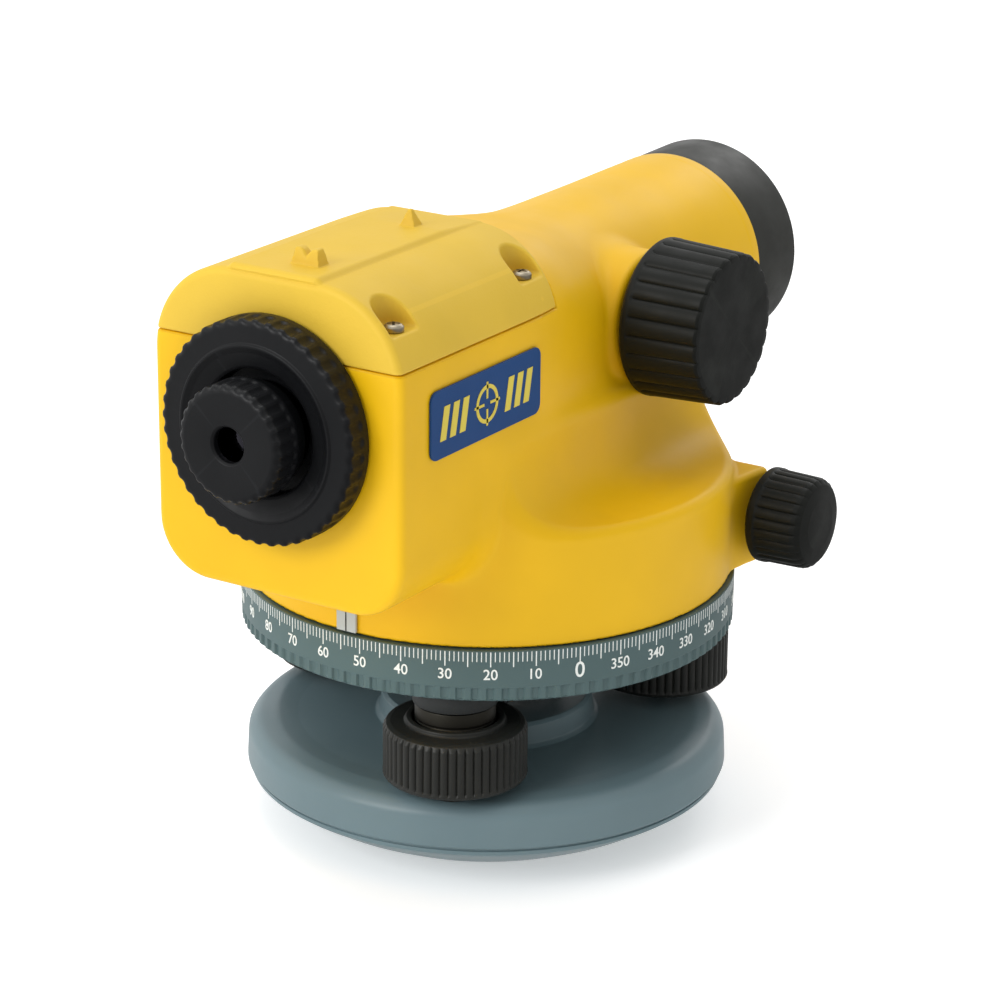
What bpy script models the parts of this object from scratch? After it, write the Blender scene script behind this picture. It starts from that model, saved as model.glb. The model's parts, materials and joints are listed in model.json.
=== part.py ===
"""Automatic level on a three-screw tribrach.

Frame: origin at the centre of the base's flat foot, +Z up, +Y towards the
objective (eyepiece at -Y), +X towards the focus knob. Dimensions are in
millimetres and are turned into metres when a mesh is made.

A piece built without a material is a helper: a hidden tool for a boolean.
"""
import math

import bmesh
import bpy
from mathutils import Matrix, Vector

MM = 0.001
GAP = 0.25                      # clearance between fitted pieces

# ---- base and foot screws ----
BASE_Z = 23.0                   # top of the base plate
HUB_BORE_R = 11.3               # hole through the base for the tripod bush
TRIPOD_BORE_R = 7.0             # bore of a 5/8"-11 thread, taken to its minor size
FOOT_CIRCLE_R = 45.0            # circle on which the foot screws stand
FOOT_ANGLES = {"a": -66.2, "b": 53.8, "c": 173.8}
BALL_Z, BALL_R = 15.0, 4.0
STUD_R = 1.9                    # stud above the ball
SOCKET_R = 4.35                 # seat of the ball in the base
STEM_R = 3.0                    # threaded stem of a foot screw
STEM_BORE_R = 3.3               # bores that take the stem
KNOB_R = 16.4
KNOB_Z0, KNOB_Z1 = 25.5, 38.9

# ---- tribrach and spindle ----
PLATE_Z0, PLATE_Z1 = 43.8, 48.1
PLATE_R = 34.0                  # plate between the arms
ARM_R = 9.8                     # round end of a tribrach arm
SPINDLE_R = 10.0
SPINDLE_BORE_R = SPINDLE_R + 0.15   # running bore of wheel and housing

# ---- circle and drum ----
DIAL_R = 58.0
DIAL_Z0, DIAL_Z1 = 48.6, 60.8
DRUM_R = 57.0
DRUM_Z0 = 61.1

# ---- telescope ----
AXIS_Z = 116.6
REAR_Y = -83.2
BOX_HALF_WIDTH = 32.3
BOX_TOP, BOX_BOTTOM = 149.2, 77.5
BOX = (BOX_HALF_WIDTH, BOX_TOP, BOX_BOTTOM, 21.0, 13.0)     # see section()
CORNER_POINTS = 7               # points on each corner of a section
BARREL_R = 25.4
BARREL_Y = 82.0                 # front of the barrel
BORE_R = 22.9
HOOD_Y = 100.9                  # front of the objective hood
EYE_Y = -100.9                  # rear end of the eyepiece knob

# ---- cover ----
PART_Z = 132.6                  # parting plane of the cover
COVER_Y = -20.8                 # front edge of the cover opening
SCREW_XY = ((25.6, -76.4), (25.6, -27.2), (-25.6, -76.4), (-25.6, -27.2))
SCREW_BORE_R = 1.75
POCKET_Z, POCKET_R = 139.9, 4.8     # open pockets round the screw heads
SIGHT_X = 2.9

# ---- drives ----
SHAFT_R = 2.2                   # tangent and focus shafts
KNOB_BORE_R = 2.55              # bore of the knobs on those shafts
WHEEL_TEETH, WHEEL_MODULE = 56, 1.0
WHEEL_R = 0.5 * WHEEL_TEETH * WHEEL_MODULE
WORM_R = 3.9                    # pitch radius
TANGENT_Y, TANGENT_Z = WHEEL_R + WORM_R, 74.3
WORM_POINTS, WORM_TURNS = 14, 2.2   # points per turn, turns of thread
FOCUS_Y, FOCUS_Z = 23.3, 120.1
PINION_TEETH, PINION_MODULE = 12, 0.6
PINION_R = 0.5 * PINION_TEETH * PINION_MODULE
RACK_X = (17.4, 21.4)           # width of rack and pinion
RACK_Y = (2.0, FOCUS_Y + 19.7)

# ---- compensator, vial and mirror ----
PENDULUM_Y, PENDULUM_Z = -30.0, 129.6   # pendulum axis, parallel to X
VIAL_X, VIAL_Y = -46.5, -8.0
HINGE_Y, HINGE_Z = VIAL_Y + 12.4, 97.4  # mirror hinge, parallel to X
MIRROR_TILT = math.radians(45)

LEFT_RIGHT = (("l", -1), ("r", 1))      # left is -X


def polar(radius, degrees):
    angle = math.radians(degrees)
    return radius * math.cos(angle), radius * math.sin(angle)


def upright(x, y):
    """A vertical line, in the form the shape builders take."""
    return (x, y, 0), "Z"


FEET = {key: polar(FOOT_CIRCLE_R, angle) for key, angle in FOOT_ANGLES.items()}

# Lines to build along: (origin, axis letter)
Z_LINE = upright(0, 0)
Y_LINE = (0, 0, 0), "Y"
X_LINE = (0, 0, 0), "X"
OPTIC_LINE = (0, 0, AXIS_Z), "Y"
TANGENT_LINE = (0, TANGENT_Y, TANGENT_Z), "X"
FOCUS_LINE = (0, FOCUS_Y, FOCUS_Z), "X"
VIAL_LINE = upright(VIAL_X, VIAL_Y)
HINGE_LINE = (0, HINGE_Y, HINGE_Z), "X"

for old in list(bpy.data.objects):
    bpy.data.objects.remove(old, do_unlink=True)


# ---- materials --------------------------------------------------------------
def make_material(name, color, roughness=0.5, metallic=0.0):
    made = bpy.data.materials.get(name)
    if made:                    # left by an earlier run in this session
        return made
    made = bpy.data.materials.new(name)
    made.use_nodes = True
    shader = made.node_tree.nodes["Principled BSDF"]
    shader.inputs["Base Color"].default_value = (*color, 1)
    shader.inputs["Roughness"].default_value = roughness
    shader.inputs["Metallic"].default_value = metallic
    made.diffuse_color = (*color, 1)
    return made


YELLOW = make_material("yellow_paint", color=(0.86, 0.50, 0.045), roughness=0.4)
BLACK = make_material("black_plastic", color=(0.02, 0.02, 0.02))
GREY = make_material("grey_paint", color=(0.16, 0.21, 0.23), roughness=0.45)
STEEL = make_material("steel", color=(0.55, 0.55, 0.56), roughness=0.3, metallic=1.0)
BRASS = make_material("brass", color=(0.68, 0.50, 0.22), roughness=0.35, metallic=1.0)
DARK = make_material("dark_alloy", color=(0.07, 0.08, 0.085), metallic=0.6)
GLASS = make_material("optical_glass", color=(0.75, 0.83, 0.86), roughness=0.05)
MIRROR = make_material("mirror", color=(0.9, 0.9, 0.9), roughness=0.05, metallic=1.0)
WHITE = make_material("index_white", color=(0.66, 0.68, 0.64))
BLUE = make_material("badge_blue", color=(0.03, 0.08, 0.19), roughness=0.35)


# ---- shape builders ---------------------------------------------------------
def line_point(line, u, v, h):
    """(u, v) across the line, h along it."""
    (x, y, z), axis = line
    if axis == "Z":
        return x + u, y + v, z + h
    if axis == "Y":
        return x + u, y + h, z + v
    return x + h, y + u, z + v


def finish(name, bm, material):
    """Turn the mesh outward and link it as an object."""
    bmesh.ops.remove_doubles(bm, verts=bm.verts, dist=1e-8)
    bmesh.ops.recalc_face_normals(bm, faces=bm.faces)
    if bm.calc_volume(signed=True) < 0:
        bmesh.ops.reverse_faces(bm, faces=bm.faces)
    mesh = bpy.data.meshes.new(name)
    bm.to_mesh(mesh)
    bm.free()
    ob = bpy.data.objects.new(name, mesh)
    bpy.context.scene.collection.objects.link(ob)
    if material:
        mesh.materials.append(material)
    else:
        ob.hide_render = True
        ob.display_type = "WIRE"
    return ob


def skin(name, loops, material=None, closed=False):
    """Skin equal-length loops or single points; cap the ends, or join last to first."""
    bm = bmesh.new()
    rows = [[bm.verts.new(Vector(p) * MM) for p in loop] for loop in loops]
    count = max(len(row) for row in rows)
    pairs = list(zip(rows, rows[1:]))
    if closed:
        pairs.append((rows[-1], rows[0]))
    for a, b in pairs:
        for i in range(count):
            j = (i + 1) % count
            if len(a) == 1:
                bm.faces.new((a[0], b[j], b[i]))
            elif len(b) == 1:
                bm.faces.new((a[i], a[j], b[0]))
            else:
                bm.faces.new((a[i], a[j], b[j], b[i]))
    if not closed:
        if len(rows[0]) > 1:
            bm.faces.new(list(reversed(rows[0])))
        if len(rows[-1]) > 1:
            bm.faces.new(rows[-1])
    return finish(name, bm, material)


def lathe(name, profile, sides, material=None, line=Z_LINE, rib=0.0, phase=0.0):
    """Revolve (radius, h) points. A profile that starts off the axis closes into a ring.
    Rows with a third value are ribbed: every other point is lowered by rib."""
    loops = []
    for radius, h, *ribbed in profile:
        if radius == 0:
            loops.append([line_point(line, 0, 0, h)])
            continue
        loop = []
        for i in range(sides):
            angle = 2 * math.pi * i / sides + phase
            r = radius - rib if ribbed and i % 2 else radius
            loop.append(line_point(line, r * math.cos(angle), r * math.sin(angle), h))
        loops.append(loop)
    return skin(name, loops, material, closed=profile[0][0] > 0)


def cylinder(name, radius, h0, h1, sides, material=None, line=Z_LINE):
    return lathe(name, [(0, h0), (radius, h0), (radius, h1), (0, h1)], sides, material, line)


def tube(name, inner, outer, h0, h1, sides, material=None, line=Z_LINE):
    return lathe(name, [(inner, h0), (outer, h0), (outer, h1), (inner, h1)],
                 sides, material, line)


def prism(name, outline, h0, h1, material=None, line=Z_LINE):
    return skin(name, [[line_point(line, u, v, h) for u, v in outline] for h in (h0, h1)],
                material)


def box(name, x, y, z, material=None):
    """Box from (low, high) pairs."""
    outline = [(x[0], y[0]), (x[1], y[0]), (x[1], y[1]), (x[0], y[1])]
    return prism(name, outline, *z, material)


def span(middle, half):
    return middle - half, middle + half


def corner_arcs(corners, count):
    """Quarter arcs of count points round (u, v, radius) corners, anticlockwise."""
    points = []
    for quarter, (u, v, radius) in enumerate(corners):
        for i in range(count):
            du, dv = polar(radius, 90 * quarter + 90.0 * i / (count - 1))
            points.append((u + du, v + dv))
    return points


def gear_outline(teeth, first, tooth):
    """Outline from one tooth's (radius, half thickness) points; first tooth at angle first."""
    points = []
    for i in range(teeth):
        middle = 2 * math.pi * i / teeth + first
        for r, half in tooth:
            angle = middle - half / r
            points.append((r * math.cos(angle), r * math.sin(angle)))
    return points


def combine(ob, tool, operation):
    modifier = ob.modifiers.new(operation.title() + "_" + tool.name, "BOOLEAN")
    modifier.operation = operation
    modifier.object = tool
    modifier.solver = "EXACT"


def cut(ob, tool):
    combine(ob, tool, "DIFFERENCE")


def add(ob, tool):
    combine(ob, tool, "UNION")


# ---- base -------------------------------------------------------------------
def build_base():
    base = lathe("base_plate", [
        (HUB_BORE_R, 0.0), (37.0, 0.0), (40.3, 1.5), (48.2, 5.5), (53.4, 8.9), (56.3, 10.4),
        (57.2, 12.4), (56.7, 20.0), (55.0, 22.2), (50.5, 23.2), (46.0, BASE_Z),
        (25.6, BASE_Z), (25.0, 28.0), (24.2, 28.8), (HUB_BORE_R, 28.8)], 48, GREY)
    tube("tripod_bush", TRIPOD_BORE_R, 11.0, 0.6, 28.4, 24, BRASS)
    for key, (x, y) in FEET.items():
        line = upright(x, y)
        cut(base, lathe("cut_socket_" + key, [
            (0, BALL_Z - SOCKET_R), (2.2, BALL_Z - 3.75), (3.77, BALL_Z - 2.17),
            (SOCKET_R, BALL_Z), (SOCKET_R, 17.3), (9.0, 17.3), (9.0, 30.0), (0, 30.0)],
            12, line=line))
        tube("ball_retainer_" + key, 3.5, 8.6, 17.45, 22.2, 12, STEEL, line)
        build_foot_screw(key, line)


def build_foot_screw(key, line):
    # The ball stud turns inside the foot screw and rests in the base
    ball = []
    for latitude in (-50, -15, 20, 52):
        r, z = polar(BALL_R, latitude)
        ball.append((r, BALL_Z + z))
    lathe("foot_ball_" + key, [(0, BALL_Z - BALL_R), *ball, (STUD_R, BALL_Z + 3.6),
                               (STUD_R, 27.6), (0, 27.6)], 12, STEEL, line)
    lathe("foot_screw_" + key, [
        (0, 28.2), (2.2, 28.2), (2.2, 23.9), (STEM_R, 23.9), (STEM_R, 45.2),
        (2.4, 45.8), (0, 45.8)], 12, STEEL, line)
    lathe("foot_knob_" + key, [
        (STEM_BORE_R, KNOB_Z0), (15.4, KNOB_Z0), (KNOB_R, KNOB_Z0 + 0.9, 1),
        (KNOB_R, KNOB_Z1 - 0.9, 1), (15.0, KNOB_Z1), (11.4, KNOB_Z1), (11.2, KNOB_Z1 + 1.1),
        (9.8, KNOB_Z1 + 1.1), (9.8, 29.5), (STEM_BORE_R, 29.5)], 36, BLACK, line, rib=0.75)


# ---- tribrach ---------------------------------------------------------------
def build_preload_spring():
    """Three-lobed flat spring, lobes towards the feet."""
    outline = []
    for i in range(36):
        angle = 2 * math.pi * i / 36
        r = 15.2 + 4.0 * math.cos(3 * (angle - math.radians(FOOT_ANGLES["a"])))
        outline.append((r * math.cos(angle), r * math.sin(angle)))
    spring = prism("preload_spring", outline, 30.5, 31.3, STEEL)
    cut(spring, cylinder("cut_spring", 8.5, 29, 33, 20))


def tribrach_outline():
    """Disc joined with a round end at each foot, sampled by rays from the centre."""
    outline = []
    for i in range(96):
        angle = 2 * math.pi * i / 96
        reach = PLATE_R
        for foot_angle in FOOT_ANGLES.values():
            turn = angle - math.radians(foot_angle)
            miss = abs(FOOT_CIRCLE_R * math.sin(turn))  # ray to the foot's centre
            if miss < ARM_R:
                end = FOOT_CIRCLE_R * math.cos(turn) + math.sqrt(ARM_R ** 2 - miss ** 2)
                reach = max(reach, end)
        outline.append((reach * math.cos(angle), reach * math.sin(angle)))
    return outline


def build_tribrach():
    plate = prism("tribrach_plate", tribrach_outline(), PLATE_Z0, PLATE_Z1, DARK)
    add(plate, lathe("add_column", [
        (0, 33.6), (20.0, 33.6), (21.0, 34.6), (21.0, 41.5), (24.0, 45.0), (0, 45.0)], 28))
    cut(plate, cylinder("cut_column", SPINDLE_R + GAP, 36.0, 60.0, 24))
    shoulder_z = PLATE_Z0 - GAP
    for key, (x, y) in FEET.items():
        line = upright(x, y)
        cut(plate, cylinder("cut_bush_" + key, 8.25, 40, 52, 16, line=line))
        lathe("foot_bush_" + key, [
            (STEM_BORE_R, 33.0), (9.2, 33.0), (9.2, shoulder_z), (7.9, shoulder_z),
            (7.9, 47.9), (STEM_BORE_R, 47.9)], 16, STEEL, line)
    lathe("spindle", [
        (0, 36.3), (SPINDLE_R, 36.3), (SPINDLE_R, 48.4), (20.0, 48.4), (20.0, 51.6),
        (13.0, 51.6), (13.0, 68.4), (SPINDLE_R, 68.4), (SPINDLE_R, 83.6), (0, 83.6)],
        24, STEEL)


# ---- circle and worm wheel --------------------------------------------------
def build_circle():
    lathe("horizontal_circle", [
        (13.3, 52.4), (52.0, 52.4), (53.5, DIAL_Z0), (57.4, DIAL_Z0),
        (DIAL_R, 49.2), (DIAL_R, 60.3), (57.5, DIAL_Z1), (54.2, DIAL_Z1),
        (51.6, 55.4), (13.3, 55.4)], 48, GREY)


def build_wheel():
    root, tip = WHEEL_R - 1.05, WHEEL_R + 0.85
    # Half a pitch off +Y, so that a tooth gap faces the worm
    outline = gear_outline(WHEEL_TEETH, math.pi / 2 + math.pi / WHEEL_TEETH,
                           ((root, 0.98), (tip, 0.26), (tip, -0.26), (root, -0.98)))
    wheel = prism("worm_wheel", outline, *span(TANGENT_Z, 2.0), BRASS)
    cut(wheel, cylinder("cut_wheel", SPINDLE_BORE_R, 60, 90, 20))


def build_clutch_spring():
    """Washer with three waves."""
    loops = []
    for r, rise in ((10.6, 0.0), (13.6, 0.0), (13.6, 0.5), (10.6, 0.5)):
        loop = []
        for i in range(24):
            angle = 2 * math.pi * i / 24
            z = TANGENT_Z - 4.0 + rise + 0.7 * math.cos(3 * angle)
            loop.append((r * math.cos(angle), r * math.sin(angle), z))
        loops.append(loop)
    skin("clutch_spring", loops, STEEL, closed=True)


# ---- housing ----------------------------------------------------------------
# Columns: y, half width, top, bottom, upper and lower corner radius
BODY_STATIONS = (
    (-25.0, 32.1, BOX_TOP, BOX_BOTTOM, 21.0, 13.0),
    (-20.5, 31.5, 144.8, 77.9, 17.0, 13.0),
    (-10.0, 30.1, 144.2, 80.2, 18.7, 14.0),
    (0.0, 28.5, 143.2, 83.8, 22.5, 17.0),
    (11.0, 26.9, 142.3, 87.0, 24.9, 20.0),
    (24.0, 25.6, 142.02, 90.0, 25.3, 23.5),
    (38.0, BARREL_R + 0.1, AXIS_Z + BARREL_R + 0.05, AXIS_Z - BARREL_R,
     BARREL_R, BARREL_R - 0.1),
    (60.0, BARREL_R, AXIS_Z + BARREL_R, AXIS_Z - BARREL_R, BARREL_R - 0.01, BARREL_R - 0.01),
    (BARREL_Y, 25.1, AXIS_Z + 25.1, AXIS_Z - 25.1, 25.09, 25.09),
)
BORE = (BORE_R + 0.1, AXIS_Z + BORE_R, AXIS_Z - BORE_R, BORE_R, BORE_R)
CAVITY_STATIONS = (
    (REAR_Y + 3.0, 29.2, 146.0, 84.2, 18.0, 9.0),
    (-27.0, 29.2, 146.0, 84.2, 18.0, 9.0),
    (-22.0, 28.4, 141.6, 84.2, 15.0, 9.0),
    (-6.0, 26.2, 140.2, 88.0, 18.0, 14.0),
    (10.0, 23.6, 139.5, 92.0, 22.4, 19.0),
    (40.0, *BORE),
    (90.0, *BORE),
)
# Columns: z, half width, reach towards +Y, reach towards -Y, superellipse exponent
NECK_RINGS = (
    (81.0, 54.0, 54.0, 54.0, 2.0),
    (86.4, 54.6, 55.0, 54.6, 2.0),
    (88.3, 49.5, 54.0, 52.0, 2.1),
    (91.5, 42.6, 51.8, 50.0, 2.3),
    (95.5, 36.4, 49.8, 47.0, 2.6),
    (100.5, 30.5, 48.2, 45.0, 3.0),
    (106.5, 29.4, 46.5, 43.0, 3.4),
    (112.0, 27.0, 44.0, 40.0, 3.6),
)


def section(y, half_width, top, bottom, top_r, bottom_r, inset=0.0):
    """Rounded rectangle across the telescope."""
    top_r = max(top_r - inset, 0.5)
    bottom_r = max(bottom_r - inset, 0.5)
    top_x = half_width - inset - top_r
    bottom_x = half_width - inset - bottom_r
    top_z = top - inset - top_r
    bottom_z = bottom + inset + bottom_r
    corners = ((top_x, top_z, top_r), (-top_x, top_z, top_r),
               (-bottom_x, bottom_z, bottom_r), (bottom_x, bottom_z, bottom_r))
    return [(x, y, z) for x, z in corner_arcs(corners, CORNER_POINTS)]


def rear_sections():
    """Rear of the box with its rounded edge, common to housing and cover."""
    return [section(REAR_Y, *BOX, inset=2.6), section(REAR_Y + 0.9, *BOX, inset=0.9),
            section(-79.0, *BOX), section(-50.0, *BOX)]


def neck_ring(z, half_width, front, rear, exponent):
    loop = []
    for i in range(28):
        angle = 2 * math.pi * i / 28
        c, s = math.cos(angle), math.sin(angle)
        reach = front if s > 0 else rear
        loop.append((half_width * math.copysign(abs(c) ** (2 / exponent), c),
                     reach * math.copysign(abs(s) ** (2 / exponent), s), z))
    return loop


def add_outer_forms(house):
    neck = skin("add_neck", [neck_ring(*ring) for ring in NECK_RINGS])
    add(house, lathe("add_drum", [
        (0, DRUM_Z0), (56.4, DRUM_Z0), (DRUM_R, 61.8), (DRUM_R, 84.4), (56.4, 86.1),
        (55.0, 87.3), (52.0, 87.9), (0, 87.9)], 44, phase=math.radians(1.3)))
    add(house, neck)
    # Bosses that carry the tangent shaft, one each side
    for key, side in reversed(LEFT_RIGHT):
        outline = [(0, 20.6), (side * 52.0, 20.6), (side * 54.4, 37.2), (0, 37.2)]
        add(house, prism("add_boss_" + key, outline, 61.35, 83.9))
    add(house, lathe("add_focus_boss", [
        (0, 15.0), (16.8, 15.0), (16.8, 28.2), (16.0, 29.2), (0, 29.2)],
        28, line=((0, FOCUS_Y - 2.0, FOCUS_Z - 0.9), "X")))
    add(house, lathe("add_vial_boss", [
        (0, 80.0), (12.6, 80.0), (12.6, 91.2), (12.0, 91.8), (0, 91.8)], 24, line=VIAL_LINE))


def hollow_housing(house):
    cut(house, lathe("cut_drum", [
        (0, 50.0), (53.6, 50.0), (53.6, 76.0), (51.0, 79.0), (36.0, 80.4), (0, 80.4)], 32))
    cut(house, skin("cut_cavity_box", [section(*row) for row in CAVITY_STATIONS]))
    for i, (x, y) in enumerate(SCREW_XY):
        add(house, cylinder(f"add_post_{i}", 5.4, 116.0, 140.0, 12, line=upright(x, y)))
    # Spindle bearing under the telescope floor
    add(house, lathe("add_bearing", [
        (0, 76.7), (15.0, 76.7), (15.0, 82.0), (14.0, 88.0), (0, 88.0)], 20))
    cut(house, cylinder("cut_bearing", SPINDLE_BORE_R, 60.0, 84.6, 24))


def cut_openings(house):
    cut(house, box("cut_cover", (-40, 40), (-92, COVER_Y), (PART_Z, 170)))
    for i, (x, y) in enumerate(SCREW_XY):
        cut(house, cylinder(f"cut_screw_hole_{i}", SCREW_BORE_R, 120.0, 150.0, 8,
                            line=upright(x, y)))
    cut(house, cylinder("cut_rear", 14.8, -100, -70, 28, line=OPTIC_LINE))
    cut(house, cylinder("cut_focus", 7.3, 10, 40, 18, line=FOCUS_LINE))
    cut(house, cylinder("cut_tangent", 2.8, -60, 60, 12, line=TANGENT_LINE))
    cut(house, box("cut_vial_clear", (-62.0, -35.6), (-21.0, 8.0), (92.0, 128.0)))
    cut(house, cylinder("cut_vial", 10.8, 86.0, 100.0, 24, line=VIAL_LINE))


def build_housing():
    house = skin("main_housing", rear_sections() + [section(*row) for row in BODY_STATIONS],
                 YELLOW)
    add_outer_forms(house)
    hollow_housing(house)
    cut_openings(house)


def build_markings():
    """Index strip at the rear of the drum, badge on the +X side of the box."""
    box("index_plate", (-2.6, 2.6), (-57.95, -57.2), (61.6, 77.2), WHITE)
    corners = [(y, z, 2.1) for y, z in
               ((-32.6, 124.6), (-71.2, 124.6), (-71.2, 113.6), (-32.6, 113.6))]
    prism("badge", corner_arcs(corners, 4), 32.5, 33.2, BLUE, X_LINE)


# ---- cover ------------------------------------------------------------------
def cut_screw_pocket(cover, i, x, y):
    """Screw hole and a round-ended pocket that opens sideways, away from the centre."""
    out = 1 if x > 0 else -1
    outline = []
    for j in range(7):
        dx, dy = polar(POCKET_R, 90 + 180 * j / 6)
        outline.append((x + out * dx, y + dy))
    outline += [(x + out * 20, y - POCKET_R), (x + out * 20, y + POCKET_R)]
    cut(cover, prism(f"cut_pocket_{i}", outline, POCKET_Z, 170))
    cut(cover, cylinder(f"cut_cover_hole_{i}", SCREW_BORE_R, 120, 150, 8, line=upright(x, y)))


def build_cover_screw(i, x, y):
    """Screw with a cross slot."""
    seat = POCKET_Z + 0.05
    screw = lathe(f"cover_screw_{i + 1}", [
        (0, 122.0), (1.45, 122.0), (1.45, seat), (2.3, seat), (2.3, POCKET_Z + 1.2),
        (1.6, POCKET_Z + 1.8), (0, POCKET_Z + 1.9)], 8, STEEL, upright(x, y))
    slot_z = (POCKET_Z + 1.1, POCKET_Z + 3)
    cut(screw, box(f"cut_slot_{i}", span(x, 0.35), span(y, 1.3), slot_z))
    cut(screw, box(f"cut_slotx_{i}", span(x, 1.3), span(y, 0.35), slot_z))


def sight_block(name, y, top_z, foot, top):
    """Tapered block on the cover; foot and top are (x, y) half sizes."""
    loops = []
    for (half_x, half_y), z in ((foot, BOX_TOP), (top, top_z)):
        loops.append([(SIGHT_X + a * half_x, y + b * half_y, z)
                      for a, b in ((-1, -1), (1, -1), (1, 1), (-1, 1))])
    return skin(name, loops)


def build_cover():
    cover = skin("top_cover", rear_sections() + [
        section(-18.0, 31.4, BOX_TOP, BOX_BOTTOM, 21.0, 13.0)], YELLOW)
    combine(cover, box("keep_cover", (-50, 50), (-95, COVER_Y - 0.2), (PART_Z + 0.2, 170)),
            "INTERSECT")
    ridge = [(-9.6, 149.5), (-9.0, 150.1), (10.9, 150.1), (11.6, 149.5), (11.6, 140.0),
             (-9.6, 140.0)]
    add(cover, prism("add_ridge", ridge, -82.2, COVER_Y - 0.7, line=Y_LINE))
    cut(cover, box("cut_cover_in", (-16.0, 16.0), (-79.8, -24.0), (120, 146.0)))
    for i, (x, y) in enumerate(SCREW_XY):
        cut_screw_pocket(cover, i, x, y)
        build_cover_screw(i, x, y)
    # Sights: notch behind, pyramid in front
    add(cover, sight_block("add_rear_sight", -74.2, 154.0, foot=(3.9, 2.1), top=(2.9, 1.1)))
    notch = [(SIGHT_X - 1.8, 155.0), (SIGHT_X, 151.6), (SIGHT_X + 1.8, 155.0)]
    cut(cover, prism("cut_notch", notch, -80, -68, line=Y_LINE))
    add(cover, sight_block("add_front_sight", -38.0, 154.2, foot=(2.6, 2.1), top=(0.5, 0.5)))


# ---- objective --------------------------------------------------------------
def build_objective():
    lathe("objective_hood", [
        (18.6, 74.5), (22.5, 74.5), (22.5, BARREL_Y + GAP), (25.7, BARREL_Y + GAP),
        (25.7, HOOD_Y - 0.6), (25.2, HOOD_Y), (22.6, HOOD_Y), (20.0, 97.0), (20.0, 84.4),
        (18.6, 84.4)], 32, BLACK, OPTIC_LINE)
    lathe("objective_crown_lens", [
        (0, 92.9), (11, 92.1), (19.6, 90.4), (19.6, 88.3), (0, 87.2)], 24, GLASS, OPTIC_LINE)
    lathe("objective_flint_lens", [
        (0, 86.9), (19.6, 88.0), (19.6, 84.7), (0, 84.7)], 24, GLASS, OPTIC_LINE)


# ---- focusing ---------------------------------------------------------------
def build_rack():
    pitch_z = FOCUS_Z - PINION_R
    pitch = math.pi * PINION_MODULE
    bottom, root, tip = pitch_z - 3.0, pitch_z - 0.75, pitch_z + 0.42
    rear, front = RACK_Y
    outline = [(rear, bottom), (front, bottom), (front, root)]
    for i in range(9, -10, -1):
        y = FOCUS_Y + pitch * (i + 0.5)
        outline += [(y + 0.60, root), (y + 0.20, tip), (y - 0.20, tip), (y - 0.60, root)]
    outline.append((rear, root))
    prism("focus_rack", outline, *RACK_X, BRASS, X_LINE)


def build_pinion():
    root, tip = PINION_R - 0.78, PINION_R + 0.42
    outline = gear_outline(PINION_TEETH, -math.pi / 2, (
        (root, 0.50), (PINION_R, 0.34), (tip, 0.16), (tip, -0.16), (PINION_R, -0.34),
        (root, -0.50)))
    pinion = prism("focus_pinion", outline, *RACK_X, STEEL, FOCUS_LINE)
    add(pinion, cylinder("add_pinion_shaft", SHAFT_R, 16.9, 44.0, 12, line=FOCUS_LINE))


def build_focusing():
    tube("focus_carriage", 13.9, 16.4, 30.0, 52.0, 24, DARK, OPTIC_LINE)
    lathe("focusing_lens", [
        (0, 39.4), (13.6, 38.2), (13.6, 41.8), (0, 40.6)], 20, GLASS, OPTIC_LINE)
    build_rack()
    build_pinion()
    tube("focus_bush", 2.5, 7.0, 23.0, 30.2, 16, BRASS, FOCUS_LINE)
    knob = lathe("focus_knob", [
        (0, 31.0), (17.7, 31.0), (18.5, 31.8), (18.5, 33.2), (18.5, 33.6, 1), (17.6, 50.2, 1),
        (17.0, 50.8), (0, 51.0)], 48, BLACK, FOCUS_LINE, rib=0.8)
    cut(knob, cylinder("cut_focus_knob", KNOB_BORE_R, 28.0, 44.4, 12, line=FOCUS_LINE))


# ---- compensator ------------------------------------------------------------
def build_compensator():
    trunnion_line = (0, PENDULUM_Y, PENDULUM_Z), "X"

    frame = box("compensator_frame", (-19.0, 19.0), (-50.0, -15.0), (88.4, 91.0), DARK)
    for key, side in LEFT_RIGHT:
        add(frame, box("add_cheek_" + key, sorted((side * 14.6, side * 17.2)),
                       span(PENDULUM_Y, 7), (90.0, 132.3)))
    add(frame, box("add_prism_post", (-7.0, 7.0), (-49.0, -44.2), (90.0, 106.4)))
    cut(frame, cylinder("cut_trunnion", 1.35, -30, 30, 16, line=trunnion_line))

    pendulum = box("compensator_pendulum", (-14.0, 14.0), span(PENDULUM_Y, 3),
                   span(PENDULUM_Z, 2.4), DARK)
    add(pendulum, cylinder("add_trunnion", 1.1, -16.9, 16.9, 16, line=trunnion_line))
    for key, side in LEFT_RIGHT:
        add(pendulum, box("add_arm_" + key, sorted((side * 11.4, side * 13.6)),
                          span(PENDULUM_Y, 2.6), (100.2, PENDULUM_Z)))
    add(pendulum, box("add_tray", (-13.4, 13.4), span(PENDULUM_Y, 6), (100.0, 102.6)))
    add(pendulum, box("add_vane", (-8.0, 8.0), span(PENDULUM_Y, 0.8), (94.4, 101.0)))

    rear, front = span(PENDULUM_Y, 5.4)
    prism("pendulum_prism", [(rear, 102.9), (front, 102.9), (front, 112.0),
                             (PENDULUM_Y, 119.6), (rear, 112.0)], -10.6, 10.6, GLASS, X_LINE)
    prism("roof_prism", [(-48.6, 106.7), (-44.6, 106.7), (-40.6, 118.0), (-44.6, 126.5),
                         (-48.6, 118.0)], -9.0, 9.0, GLASS, X_LINE)
    magnet = box("damping_magnet", (-10.0, 10.0), span(PENDULUM_Y, 6.5), (91.3, 98.6), DARK)
    cut(magnet, box("cut_magnet", (-12.0, 12.0), span(PENDULUM_Y, 2.6), (93.4, 100)))


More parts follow.
